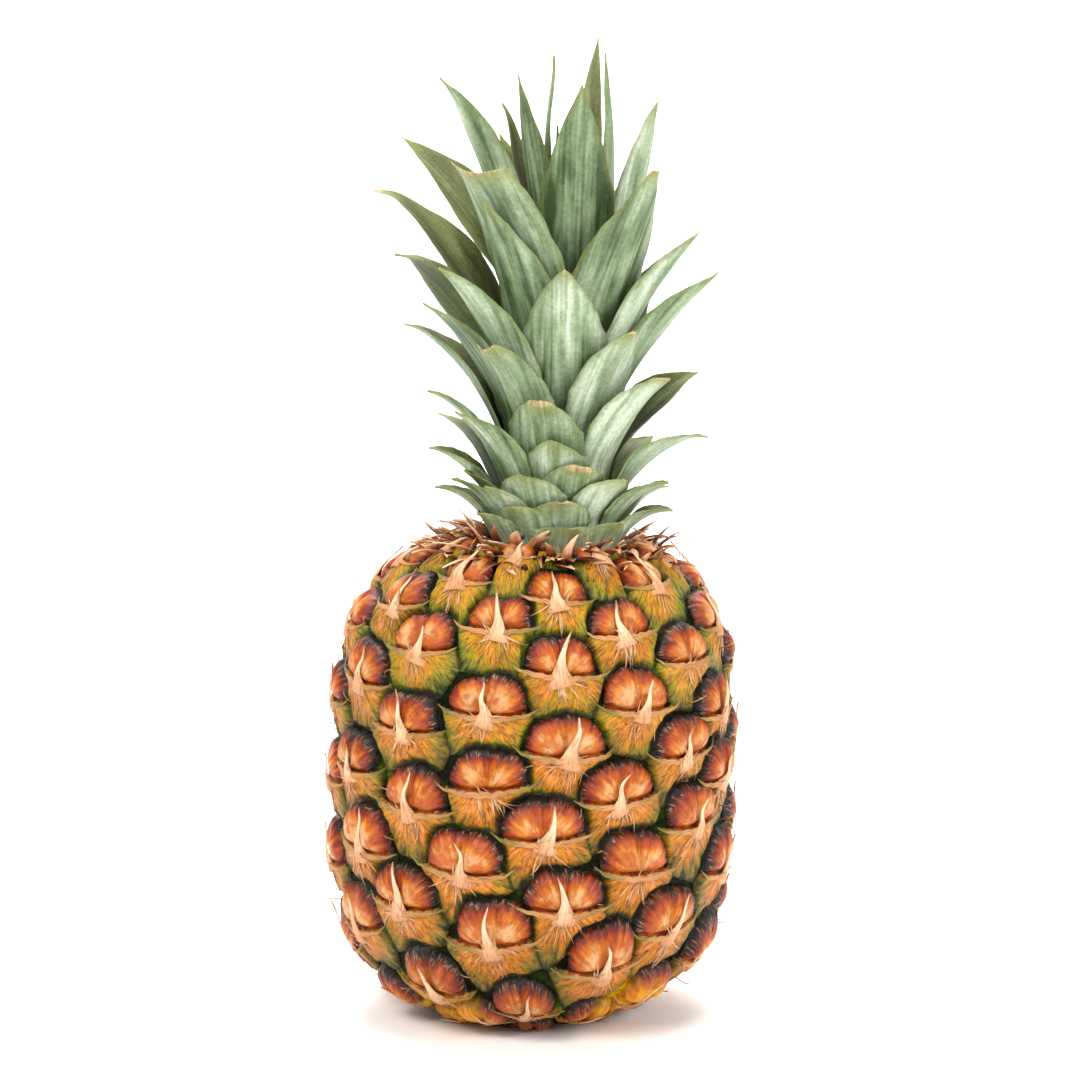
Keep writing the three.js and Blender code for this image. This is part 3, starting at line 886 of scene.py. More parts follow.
    def build(self, materials: tuple[bpy.types.Material, ...]) -> list[bpy.types.Object]:
        """Make the lips, the spikes and the fibres, each kind as one piece.

        Args:
            materials: what lips, spikes and fibres are made of.

        Returns:
            The three pieces.
        """
        rng = np.random.default_rng(21)
        lips, spikes, fibres = [], [], []
        for eye in self.rind.pattern.eyes:
            rise, _ = self.rind.barrel.settle(np.array(self.rind.barrel.start_rise + eye.y))
            if rise < 8.0 or eye.scale < 0.42:
                continue
            lips.append(self.lip(eye, rng))
            if rng.random() > 0.06:
                spikes.append(self.spike(eye, rng))
            fibres.extend(self.fibre(eye, rng) for _ in range(rng.integers(12, 20)))
        return [
            join_blades("bract_lips", lips, materials[0]),
            join_blades("bract_spikes", spikes, materials[1]),
            join_blades("bract_fibres", fibres, materials[2]),
        ]


@dataclass
class NeckBracts:
    """Small dry bracts, curled and torn, that ring the top of the fruit under the crown."""

    rind: Rind
    count: int = 190
    crown_x: float = 8.2

    def build(self, material: bpy.types.Material) -> bpy.types.Object:
        """Make the ring of bracts as one piece.

        Args:
            material: what the piece is made of.

        Returns:
            The ring.
        """
        rng = np.random.default_rng(33)
        half = len(self.rind.barrel.reach) // 2
        top_reach, top_rise = self.rind.barrel.reach[::-1][:half], self.rind.barrel.rise[::-1][:half]
        blades = []
        for number in range(self.count):
            turn = math.radians(number * GOLDEN_ANGLE)
            ring = rng.uniform(18.0, 36.0)
            x = self.crown_x - 2.6 + ring * math.sin(turn)
            y = -ring * math.cos(turn)
            base_turn = math.atan2(x - 2.8, -y)
            reach = math.hypot(x - 2.8, y)
            rise = np.interp(reach, top_reach, top_rise)
            foot = self.rind.barrel.point_at_rise(np.array([base_turn]), np.array([rise]), np.array([-1.8]))
            foot = self.rind.sink(foot)[0]
            blades.append(self._bract(foot, base_turn, ring, rng))
        return join_blades("neck_bracts", blades, material)

    def _bract(self, foot: np.ndarray, turn: float, ring: float, rng: np.random.Generator) -> Blade:
        """Make one dry bract that stands on the skin and curls over.

        Args:
            foot: where it stands.
            turn: the way it faces, in radians.
            ring: how far it stands from the crown.
            rng: where its chance comes from.

        Returns:
            A thin blade.
        """
        stations = 12
        part = np.linspace(0.0, 1.0, stations)
        length = rng.uniform(4.5, 11.5)
        outward = np.array([math.sin(turn), -math.cos(turn), 0.0])
        side = np.array([math.cos(turn), math.sin(turn), 0.0])
        start = rng.uniform(25.0, 85.0) if ring > 25 else rng.uniform(15.0, 70.0)
        lean = np.radians(start + rng.uniform(5.0, 60.0) * part**1.5)
        drift = rng.uniform(-0.8, 0.8)
        step = length / (stations - 1)
        out = np.cumsum(np.sin(lean)) * step
        up = np.cumsum(np.cos(lean)) * step
        centres = foot + out[:, None] * outward + up[:, None] * np.array([0.0, 0.0, 1.0])
        centres = centres + (drift * length * part**2)[:, None] * side
        across, hollow = directions(centres, np.broadcast_to(side, centres.shape))
        half = rng.uniform(1.0, 3.4) * (1.0 - part**1.3) * (0.7 + 0.3 * smooth_step(0, 0.3, part)) + 0.12
        return Blade(
            centres, across, hollow, half, np.full(stations, rng.uniform(0.3, 1.2)),
            np.full(stations, 0.4), columns=7, seed=float(rng.random()),
        )


@dataclass
class DryThreads:
    """Thin dry threads, the ends of withered flowers, that stick out between the eyes."""

    rind: Rind
    count: int = 210

    def build(self, material: bpy.types.Material) -> bpy.types.Object:
        """Make all the threads as one piece.

        Args:
            material: what the piece is made of.

        Returns:
            The threads.
        """
        rng = np.random.default_rng(5)
        barrel = self.rind.barrel
        blades = []
        for _ in range(self.count):
            turn = rng.uniform(0.0, 2 * math.pi)
            rise = rng.uniform(12.0, barrel.top_rise - 5.0)
            length = rng.uniform(3.0, 7.5)
            stations = 9
            part = np.linspace(0.0, 1.0, stations)
            bend = rng.uniform(-0.9, 0.9)
            stand = rng.uniform(0.25, 0.95)
            along_turn = turn + (bend * length * part**1.6) / barrel.radius
            along_rise = rise + rng.uniform(0.2, 1.0) * length * part * math.sqrt(1 - stand**2)
            lift = self.rind.floor_depth + 1.4 + stand * length * np.sin(part * rng.uniform(1.0, 2.2))
            centres = barrel.point_at_rise(along_turn, along_rise, np.minimum(lift, 4.6))
            side = np.stack([np.cos(along_turn), np.sin(along_turn), np.zeros(stations)], axis=-1)
            across, hollow = directions(centres, side)
            half = 0.3 * (1.0 - 0.75 * part)
            blades.append(
                Blade(
                    centres, across, hollow, half, np.full(stations, 1.3), np.full(stations, 0.28),
                    columns=3, seed=float(rng.random()),
                )
            )
        return join_blades("dry_threads", blades, material)


# ---------------------------------------------------------------- the crown


class Tip(Enum):
    """How a leaf ends: in a green point, in a dry brown one, or torn across."""

    GREEN = 0.0
    DRY = 0.55
    TORN = 1.0


class LeafPlan(NamedTuple):
    """One leaf: where it faces in degrees, its foot's height on the stem, its length and width in
    millimetres, its tip's lean in degrees, how blunt it is, how it ends, and its twist in degrees."""

    turn: float
    foot: float
    length: float
    width: float
    tip_lean: float
    blunt: float
    tip: Tip
    twist: float = 0.0


# This list began as the output of a separate fitting program and was then changed by hand.
# report.md lists it as a rule not kept.
LEAVES = (
    LeafPlan(-60, 0, 14, 22, 62, 0, Tip.GREEN),
    LeafPlan(10, 0, 11, 24, 50, 0.1, Tip.GREEN),
    LeafPlan(46, 0, 14, 20, 54, 0, Tip.GREEN),
    LeafPlan(150, 0, 19, 24, 75, 0, Tip.DRY),
    LeafPlan(-140, 1, 22, 22, 78, 0, Tip.GREEN),
    LeafPlan(-96, 1, 25, 16, 92, 0, Tip.DRY),
    LeafPlan(80, 1, 22, 18, 90, 0, Tip.DRY),
    LeafPlan(-30, 2, 15, 20, 52, 0, Tip.GREEN),
    LeafPlan(112, 3, 25, 18, 84, 0, Tip.DRY),
    LeafPlan(-66, 4, 24, 16, 76, 0, Tip.GREEN),
    LeafPlan(178, 4, 27, 24, 72, 0, Tip.GREEN),
    LeafPlan(-50, 5, 18, 20, 58, 0, Tip.GREEN),
    LeafPlan(2, 5, 14, 19, 50, 0.15, Tip.DRY),
    LeafPlan(66, 6, 25, 17, 76, 0, Tip.GREEN),
    LeafPlan(-88, 7, 31, 17, 78, 0, Tip.GREEN),
    LeafPlan(-72, 7, 20, 20, 62, 0, Tip.GREEN),
    LeafPlan(-25, 9, 18, 22, 50, 0, Tip.GREEN),
    LeafPlan(43, 9, 18, 22, 54, 0, Tip.GREEN),
    LeafPlan(134, 9, 32, 22, 72, 0, Tip.DRY),
    LeafPlan(-120, 10, 38, 18, 78, 0, Tip.GREEN),
    LeafPlan(82, 12, 38, 19, 80, 0, Tip.DRY, 30),
    LeafPlan(14, 13, 17, 21, 50, 0.15, Tip.TORN),
    LeafPlan(-160, 14, 36, 22, 66, 0, Tip.GREEN),
    LeafPlan(-57, 15, 34, 22, 66, 0, Tip.GREEN),
    LeafPlan(-84, 17, 38, 20, 69, 0, Tip.GREEN),
    LeafPlan(-4, 17, 20, 20, 46, 0.1, Tip.GREEN),
    LeafPlan(160, 19, 42, 22, 64, 0, Tip.GREEN),
    LeafPlan(-16, 22, 29, 24, 54, 0.15, Tip.TORN),
    LeafPlan(108, 22, 42, 20, 68, 0, Tip.GREEN, -35),
    LeafPlan(-104, 23, 55, 22, 70, 0, Tip.DRY),
    LeafPlan(54, 24, 37, 22, 58, 0.2, Tip.TORN),
    LeafPlan(-140, 25, 46, 22, 58, 0, Tip.GREEN),
    LeafPlan(-40, 27, 41, 24, 57, 0.3, Tip.DRY),
    LeafPlan(-78, 29, 52, 22, 58, 0, Tip.GREEN, -25),
    LeafPlan(-112, 31, 70, 20, 66, 0, Tip.DRY, 45),
    LeafPlan(172, 31, 50, 22, 54, 0, Tip.GREEN),
    LeafPlan(34, 33, 39, 20, 44, 0.1, Tip.DRY),
    LeafPlan(-60, 34, 58, 26, 54, 0, Tip.GREEN),
    LeafPlan(84, 36, 57, 20, 52, 0, Tip.DRY, 35),
    LeafPlan(132, 38, 55, 22, 40, 0, Tip.DRY),
    LeafPlan(-4, 39, 51, 26, 40, 0, Tip.DRY),
    LeafPlan(-90, 40, 80, 21, 60, 0, Tip.DRY, 50),
    LeafPlan(-38, 44, 66, 23, 46, 0, Tip.GREEN),
    LeafPlan(-160, 45, 62, 24, 44, 0, Tip.GREEN),
    LeafPlan(72, 45, 57, 22, 42, 0, Tip.DRY),
    LeafPlan(-42, 49, 70, 30, 46, 0.75, Tip.GREEN),
    LeafPlan(160, 49, 62, 24, 38, 0, Tip.GREEN),
    LeafPlan(-108, 53, 80, 22, 62, 0, Tip.DRY, 50),
    LeafPlan(40, 53, 64, 28, 32, 0.1, Tip.DRY),
    LeafPlan(-140, 56, 68, 22, 32, 0, Tip.GREEN),
    LeafPlan(-84, 60, 82, 22, 34, 0, Tip.GREEN, -30),
    LeafPlan(0, 64, 74, 24, 21, 0, Tip.GREEN),
    LeafPlan(-118, 66, 65, 14, 18, 0, Tip.DRY),
    LeafPlan(90, 66, 67, 16, 8, 0, Tip.GREEN, 40),
    LeafPlan(-48, 71, 68, 14, 17, 0, Tip.GREEN),
    LeafPlan(60, 75, 70, 10, -16, 0, Tip.GREEN),
    LeafPlan(170, 78, 72, 10, 7, 0, Tip.GREEN),
    LeafPlan(-90, 81, 62, 9, -9, 0, Tip.DRY),
)


@dataclass
class Crown:
    """The leaves of the crown, each a channelled blade that clasps the stem at its foot."""

    foot: tuple[float, float, float] = (8.2, 0.0, 138.5)
    lean: float = 3.5
    stem_height: float = 86.0
    stem_foot_radius: float = 17.0
    stem_top_radius: float = 4.0
    foot_lean: float = 24.0
    foot_lean_fade: float = 0.16
    lean_curve: float = 1.3
    stem_gap: float = 0.9
    widest_part: float = 0.4
    foot_width_share: float = 0.75
    taper_curve: float = 1.7
    channel: float = 0.55
    thickness: float = 1.0
    stations: int = 46
    columns: int = 15

    def stem_radius(self, height: float) -> float:
        """Give the stem's radius at a height above the crown's foot.

        Args:
            height: the height in millimetres.

        Returns:
            The radius in millimetres.
        """
        taper = self.stem_top_radius - self.stem_foot_radius
        return self.stem_foot_radius + taper * height / self.stem_height

    def place(self, points: np.ndarray) -> np.ndarray:
        """Lean points and set them on the fruit.

        Args:
            points: positions from the crown's foot.

        Returns:
            Positions in millimetres.
        """
        tilt = math.radians(self.lean)
        x = points[..., 0] * math.cos(tilt) + points[..., 2] * math.sin(tilt)
        z = points[..., 2] * math.cos(tilt) - points[..., 0] * math.sin(tilt)
        return np.stack([x, points[..., 1], z], axis=-1) + np.array(self.foot)

    def blade(self, plan: LeafPlan, number: int) -> Blade:
        """Shape one leaf.

        Args:
            plan: what the leaf is like.
            number: its number, which settles its chance wrinkles.

        Returns:
            The leaf as a blade.
        """
        rng = np.random.default_rng(500 + number)
        part = np.linspace(0.0, 1.0, self.stations)
        foot_lean = self.foot_lean - self.foot_lean_fade * plan.foot
        curl_over = 0.0 if plan.tip is Tip.TORN else rng.uniform(-12.0, 26.0) * (0.5 + plan.tip.value)
        bent = (plan.tip_lean - foot_lean) * part**self.lean_curve + curl_over * smooth_step(0.86, 1.0, part)
        lean = np.radians(foot_lean + bent)
        step = plan.length / (self.stations - 1)
        middle = (lean[1:] + lean[:-1]) / 2
        off_stem = self.stem_radius(plan.foot) + self.stem_gap
        reach = off_stem + np.concatenate([[0], np.cumsum(np.sin(middle))]) * step
        height = plan.foot + np.concatenate([[0], np.cumsum(np.cos(middle))]) * step
        tuck = np.clip(1.0 - part / 0.06, 0.0, 1.0)
        height = height - min(7.0, plan.foot + 1.0) * tuck
        reach = reach - 0.5 * tuck

        sway = rng.uniform(-1.4, 1.4) * smooth_step(0.3, 1.0, part) * plan.length / 60.0
        turn = math.radians(plan.turn)
        out = np.array([math.sin(turn), -math.cos(turn), 0.0])
        side = np.array([math.cos(turn), math.sin(turn), 0.0])
        centres = reach[:, None] * out + sway[:, None] * side + height[:, None] * np.array([0.0, 0.0, 1.0])

        to_widest = np.minimum(part / self.widest_part, 1.0)
        foot = self.foot_width_share + (1 - self.foot_width_share) * np.sin(to_widest * math.pi / 2)
        past = np.clip((part - self.widest_part) / (1 - self.widest_part), 0.0, 1.0)
        taper = plan.blunt + (1 - plan.blunt) * (1 - past**self.taper_curve)
        uneven = 1.0 + 0.02 * np.sin(part * 23 + number) + 0.015 * np.sin(part * 41 + 2 * number)
        half = plan.width / 2 * foot * taper * uneven
        if plan.tip is Tip.TORN:
            half = half * (1.0 - 0.5 * smooth_step(0.93, 1.0, part))
        half = np.maximum(half, 0.22)

        round_stem = np.minimum(half / reach, 1.1)
        channel = self.channel + rng.uniform(-0.1, 0.22)
        curls = round_stem + (channel - round_stem) * np.minimum(part / 0.5, 1.0)
        curls = np.clip(curls + 0.5 * smooth_step(0.85, 1.0, part) * plan.tip.value, 0.15, 1.3)
        twist = math.radians(rng.uniform(-14.0, 14.0)) * smooth_step(0.35, 1.0, part)
        twist = twist + math.radians(plan.twist) * smooth_step(0.1, 0.75, part)
        twisted = np.cos(twist)[:, None] * side + np.sin(twist)[:, None] * out
        across, hollow = directions(centres, twisted)
        thickness = self.thickness * (1.0 - 0.55 * part) * np.minimum(1.0, 0.4 + plan.width / 30.0)
        return Blade(
            self.place(centres),
            self._turn_only(across),
            self._turn_only(hollow),
            half,
            curls,
            thickness,
            columns=self.columns,
            ripple=self._ripple(part, half, plan, rng),
            # The third value of part is the leaf's tone: a random share, plus painted light that lifts the
            # short low leaves, which sit in shade at the crown's foot.
            seed=0.62 * float(rng.random()) + 0.38 * max(0.0, 1.0 - plan.length / 45.0),
            dryness=plan.tip.value,
        )

    def _turn_only(self, vectors: np.ndarray) -> np.ndarray:
        """Lean directions with the crown.

        Args:
            vectors: the directions.

        Returns:
            The leaned directions.
        """
        return self.place(vectors) - np.array(self.foot)

    def _ripple(
        self, part: np.ndarray, half: np.ndarray, plan: LeafPlan, rng: np.random.Generator
    ) -> np.ndarray:
        """Give the blade's small waves: a wavy edge, a soft fold along its middle and fine ribs.

        Args:
            part: share of the way along the leaf.
            half: half widths in millimetres.
            plan: what the leaf is like.
            rng: where its chance comes from.

        Returns:
            A height for each station and column.
        """
        across = np.linspace(-1.0, 1.0, self.columns)
        edge = np.abs(across) ** 3
        right, left = (
            rng.uniform(0.15, 0.45) * np.sin(part * plan.length / rng.uniform(4.0, 7.0) + rng.uniform(0, 6))
            for _ in range(2)
        )
        wave = np.where(across[None, :] > 0, right[:, None], left[:, None]) * edge[None, :]
        ribs = 0.07 * np.cos(across[None, :] * half[:, None] * 2 * math.pi / 2.1)
        fold = -0.25 * np.exp(-((across[None, :] / 0.18) ** 2)) * smooth_step(0.05, 0.4, part)[:, None]
        fade = smooth_step(0.15, 0.45, part)[:, None]
        return (wave + ribs + fold) * fade

    def build(self, material: bpy.types.Material) -> list[tuple[str, bpy.types.Object]]:
        """Make every leaf.

        Args:
            material: the leaf material.

        Returns:
            Pairs of the leaf's node and its piece.
        """
        pieces = []
        for number, plan in enumerate(LEAVES, start=1):
            node = f"leaf_{number:02d}"
            blade = join_blades(f"{node}_blade", [self.blade(plan, number)], material)
            pieces.append((node, blade))
        return pieces

    def build_heart(self, material: bpy.types.Material) -> bpy.types.Object:
        """Make the crown's heart: the smallest leaves, which close over the top of the stem.

        Args:
            material: what the piece is made of.

        Returns:
            The heart as one piece.
        """
        rng = np.random.default_rng(9)
        blades = []
        for number in range(9):
            plan = LeafPlan(
                turn=number * GOLDEN_ANGLE, foot=84.0 + 0.4 * number, length=rng.uniform(22.0, 40.0),
                width=rng.uniform(5.5, 8.0), tip_lean=rng.uniform(-16.0, -4.0), blunt=0.0, tip=Tip.GREEN,
            )
            blades.append(self.blade(plan, 100 + number))
        return join_blades("crown_heart", blades, material)


# ---------------------------------------------------------------- finishes


@dataclass(frozen=True)
class RindFinish:
    """Pineapple rind: waxy domes that pass from cream through orange and red-brown to a dark frayed rim,
    fibrous peach bracts with olive edges, and dark green grooves painted near-black as the shade deep between
    the domes.
    It gives the eye its spiral pattern of warm, dry scales."""

    roughness: float = 0.52
    ior: float = 1.45
    grain_mm: float = 0.9
    patch_mm: float = 14.0

    def make(self) -> bpy.types.Material:
        """Build the rind's material.

        Returns:
            The material.
        """
        material, tree, shader = new_material("pineapple_rind")
        add = partial(add_node, tree)
        kind = read_attribute(tree, "kind")
        shade = read_attribute(tree, "shade")
        own = read_attribute(tree, "own")
        fan = add("Attribute", {"attribute_name": "fan"})
        place = add("TexCoord")
        streak = add("TexNoise", links={"Vector": fan, "Scale": 1.0, "Detail": 2.0, "Roughness": 0.5})
        fine_streak = add("TexNoise", links={"Vector": fan, "Scale": 2.6, "Detail": 2.0, "Roughness": 0.6})
        grain = add(
            "TexNoise",
            links={"Vector": place, "Scale": 1000 / self.grain_mm / 2, "Detail": 3.0, "Roughness": 0.6},
        )
        patch = add(
            "TexNoise",
            links={"Vector": place, "Scale": 1000 / self.patch_mm, "Detail": 4.0, "Roughness": 0.6},
        )

        uneven = add("Math", TIMES_PLUS, {0: streak, 1: 0.75, 2: -0.375})
        uneven = add("Math", TIMES_PLUS, {0: patch, 1: 0.5, 2: uneven})
        uneven = add("Math", TIMES_PLUS, {0: own[0], 1: 0.24, 2: uneven})
        ring = add("Math", PLUS, {0: shade[0], 1: uneven})
        ring = add("Math", MINUS, {0: ring, 1: 0.34})
        dome = add("ValToRGB", {"stops": [
            (0.05, "#D0A480"), (0.22, "#C49068"), (0.36, "#B67248"), (0.50, "#A35028"),
            (0.67, "#86351C"), (0.83, "#4C1C12"), (0.95, "#150E07"),
        ]}, {0: ring})
        on_rim = add("ValToRGB", {"stops": [
            (0.72, "#000000"), (0.82, "#FFFFFF"), (0.94, "#FFFFFF"), (1.0, "#000000"),
        ]}, {0: ring})
        frayed = add("MapRange", links={0: fine_streak, 1: 0.52, 2: 0.62, 3: 0.0, 4: 0.6})
        frayed = add("Math", TIMES, {0: frayed, 1: on_rim})
        dome = add("Mix", BLEND, {0: frayed, 6: dome, 7: linear("#A58C74")})
        faded = add(
            "TexNoise", links={"Vector": place, "Scale": 1000 / 7.0, "Detail": 3.0, "Roughness": 0.65}
        )
        faded = add("ValToRGB", {"stops": [(0.48, "#000000"), (0.62, "#B0B0B0")]}, {0: faded})
        inner = add("MapRange", links={0: ring, 1: 0.45, 2: 0.7, 3: 1.0, 4: 0.0})
        faded = add("Math", TIMES, {0: faded, 1: inner})
        dome = add("Mix", BLEND, {0: faded, 6: dome, 7: linear("#C29C7A")})
        blush = add("TexNoise", links={"Vector": place, "Scale": 1000 / 5.5, "Detail": 2.0})
        blush = add("ValToRGB", {"stops": [(0.48, "#000000"), (0.62, "#D0D0D0")]}, {0: blush})
        dome = add("Mix", TINT, {0: blush, 6: dome, 7: linear("#CE6A56")})

        spread = add("Math", TIMES_PLUS, {0: streak, 1: 0.7, 2: -0.35})
        spread = add("Math", PLUS, {0: shade[1], 1: spread})
        dry = add("ValToRGB", {"stops": [
            (0.04, "#E2B492"), (0.42, "#CB9066"), (0.62, "#AA7640"), (0.80, "#75661E"), (0.98, "#2A300C"),
        ]}, {0: spread})
        green = add("ValToRGB", {"stops": [
            (0.04, "#DEAE88"), (0.36, "#C8975E"), (0.56, "#AC8C34"), (0.76, "#747A1C"), (0.98, "#26320D"),
        ]}, {0: spread})
        greenness = add("Math", TIMES_PLUS, {0: patch, 1: 1.6, 2: own[1]})
        greenness = add("ValToRGB", {"stops": [(0.0, "#000000"), (0.62, "#202020"), (0.98, "#FFFFFF")]}, {
            0: add("Math", MINUS, {0: greenness, 1: 0.72})})
        bract = add("Mix", BLEND, {0: greenness, 6: dry, 7: green})

        husk = add("ValToRGB", {"stops": [
            (0.32, "#855A38"), (0.46, "#DCC6B0"), (0.56, "#FFFFFF"), (0.68, "#FFEEDC"),
        ]}, {0: fine_streak})
        bract = add("Mix", TINT, {0: 0.8, 6: bract, 7: husk})
        # Painted shade: the groove colour runs from the skin's own dark green down to near-black, for the
        # shade deep between the domes.
        groove = add("ValToRGB", {"stops": [
            (0.36, "#090904"), (0.54, "#13170A"), (0.64, "#2D3B10"), (0.74, "#607A1E"),
        ]}, {0: patch})
        in_bract = add("ValToRGB", {"stops": [(0.35, "#000000"), (0.65, "#FFFFFF")]}, {0: kind[1]})
        in_dome = add("ValToRGB", {"stops": [(0.35, "#000000"), (0.65, "#FFFFFF")]}, {0: kind[0]})
        colour = add("Mix", BLEND, {0: in_bract, 6: groove, 7: bract})
        # Painted shade: close to the rim of the next dome, the near-black groove colour is laid over the
        # bract and skin.
        painted_shade_by_rim = add("ValToRGB", {"stops": [(0.37, "#000000"), (0.46, "#FFFFFF")]}, {
            0: add("Math", TIMES, {0: shade[2], 1: 0.33})})
        colour = add("Mix", BLEND, {0: painted_shade_by_rim, 6: groove, 7: colour})
        colour = add("Mix", BLEND, {0: in_dome, 6: colour, 7: dome})

        ripe = add("Math", TIMES_PLUS, {0: patch, 1: 0.9, 2: own[2]})
        ripe = add("ValToRGB", {"stops": [(0.70, "#000000"), (1.0, "#D8D8D8")]}, {
            0: add("Math", MINUS, {0: ripe, 1: 0.12})})
        yellow = add(
            "ValToRGB", {"stops": [(0.35, "#D97A18"), (0.55, "#EDB040"), (0.7, "#F2CB57")]}, {0: streak}
        )
        colour = add("Mix", BLEND, {0: ripe, 6: colour, 7: yellow})

        fleck = add(
            "ValToRGB", {"stops": [(0.30, "#B9B9B9"), (0.5, "#FFFFFF"), (0.72, "#FFFFFF")]}, {0: grain}
        )
        colour = add("Mix", TINT, {0: 0.8, 6: colour, 7: fleck})
        colour = add("HueSaturation", links={"Saturation": 1.2, "Color": colour})
        tree.links.new(colour, shader.inputs["Base Color"])
        rough = add(
            "MapRange", links={0: streak, 1: 0.2, 2: 0.8, 3: self.roughness - 0.12, 4: self.roughness + 0.2}
        )
        rough = add("Math", TIMES_PLUS, {0: in_dome, 1: -0.12, 2: rough})
        tree.links.new(rough, shader.inputs["Roughness"])
        shader.inputs["IOR"].default_value = self.ior
        raised = add("Math", {"operation": "MAXIMUM"}, {0: in_dome, 1: in_bract})
        gloss = add("MapRange", links={0: raised, 3: 0.08, 4: 0.4})
        tree.links.new(gloss, shader.inputs["Specular IOR Level"])
        fibres = add("Bump", links={"Height": fine_streak, "Strength": 0.7, "Distance": 0.0005})
        pits = add("Bump", links={"Height": grain, "Strength": 0.5, "Distance": 0.0003, "Normal": fibres})
        tree.links.new(pits, shader.inputs["Normal"])
        return material


@dataclass(frozen=True)
class DryBractFinish:
    """Dry, papery bract: cream and peach with fine fibres and a scorched end. It gives the eye the pale ticks
    that mark every scale."""

    name: str
    foot: str
    middle: str
    end: str
    dark: str
    ends_at: float = 0.8
    unlike: float = 0.25
    roughness: float = 0.6
    ior: float = 1.45

    def make(self) -> bpy.types.Material:
        """Build the dry bract's material.

        Returns:
            The material.
        """
        material, tree, shader = new_material(self.name)
        add = partial(add_node, tree)
        place = add("Attribute", {"attribute_name": "place"})
        part = read_attribute(tree, "part")
        spot = add("TexCoord")
        stretched = add("Mapping", links={"Vector": place, "Scale": (2.6, 0.28, 0.0)})
        seed = add("CombineXYZ", links={2: part[2]})
        seeded = add("VectorMath", TIMES_PLUS, {0: seed, 1: (0.0, 0.0, 80.0), 2: stretched})
        fibre = add("TexNoise", links={"Vector": seeded, "Scale": 1.0, "Detail": 3.0, "Roughness": 0.6})
        patch = add("TexNoise", links={"Vector": spot, "Scale": 180.0, "Detail": 3.0, "Roughness": 0.6})
        along = add("Math", TIMES_PLUS, {0: patch, 1: 0.6, 2: part[1]})
        along = add("Math", TIMES_PLUS, {0: part[2], 1: self.unlike, 2: along})
        along = add("Math", MINUS, {0: along, 1: 0.3 + self.unlike / 2})
        colour = add("ValToRGB", {"stops": [
            (0.05, self.foot), (0.35, self.middle), (self.ends_at, self.end), (1.0, self.dark),
        ]}, {0: along})
        shadow = add(
            "ValToRGB", {"stops": [(0.3, "#A88468"), (0.52, "#FFFFFF"), (0.7, "#FFFFFF")]}, {0: fibre}
        )
        colour = add("Mix", TINT, {0: 0.75, 6: colour, 7: shadow})
        tree.links.new(colour, shader.inputs["Base Color"])
        rough = add(
            "MapRange", links={0: fibre, 1: 0.2, 2: 0.8, 3: self.roughness - 0.1, 4: self.roughness + 0.2}
        )
        tree.links.new(rough, shader.inputs["Roughness"])
        shader.inputs["IOR"].default_value = self.ior
        shader.inputs["Specular IOR Level"].default_value = 0.35
        bump = add("Bump", links={"Height": fibre, "Strength": 0.6, "Distance": 0.0003})
        tree.links.new(bump, shader.inputs["Normal"])
        return material


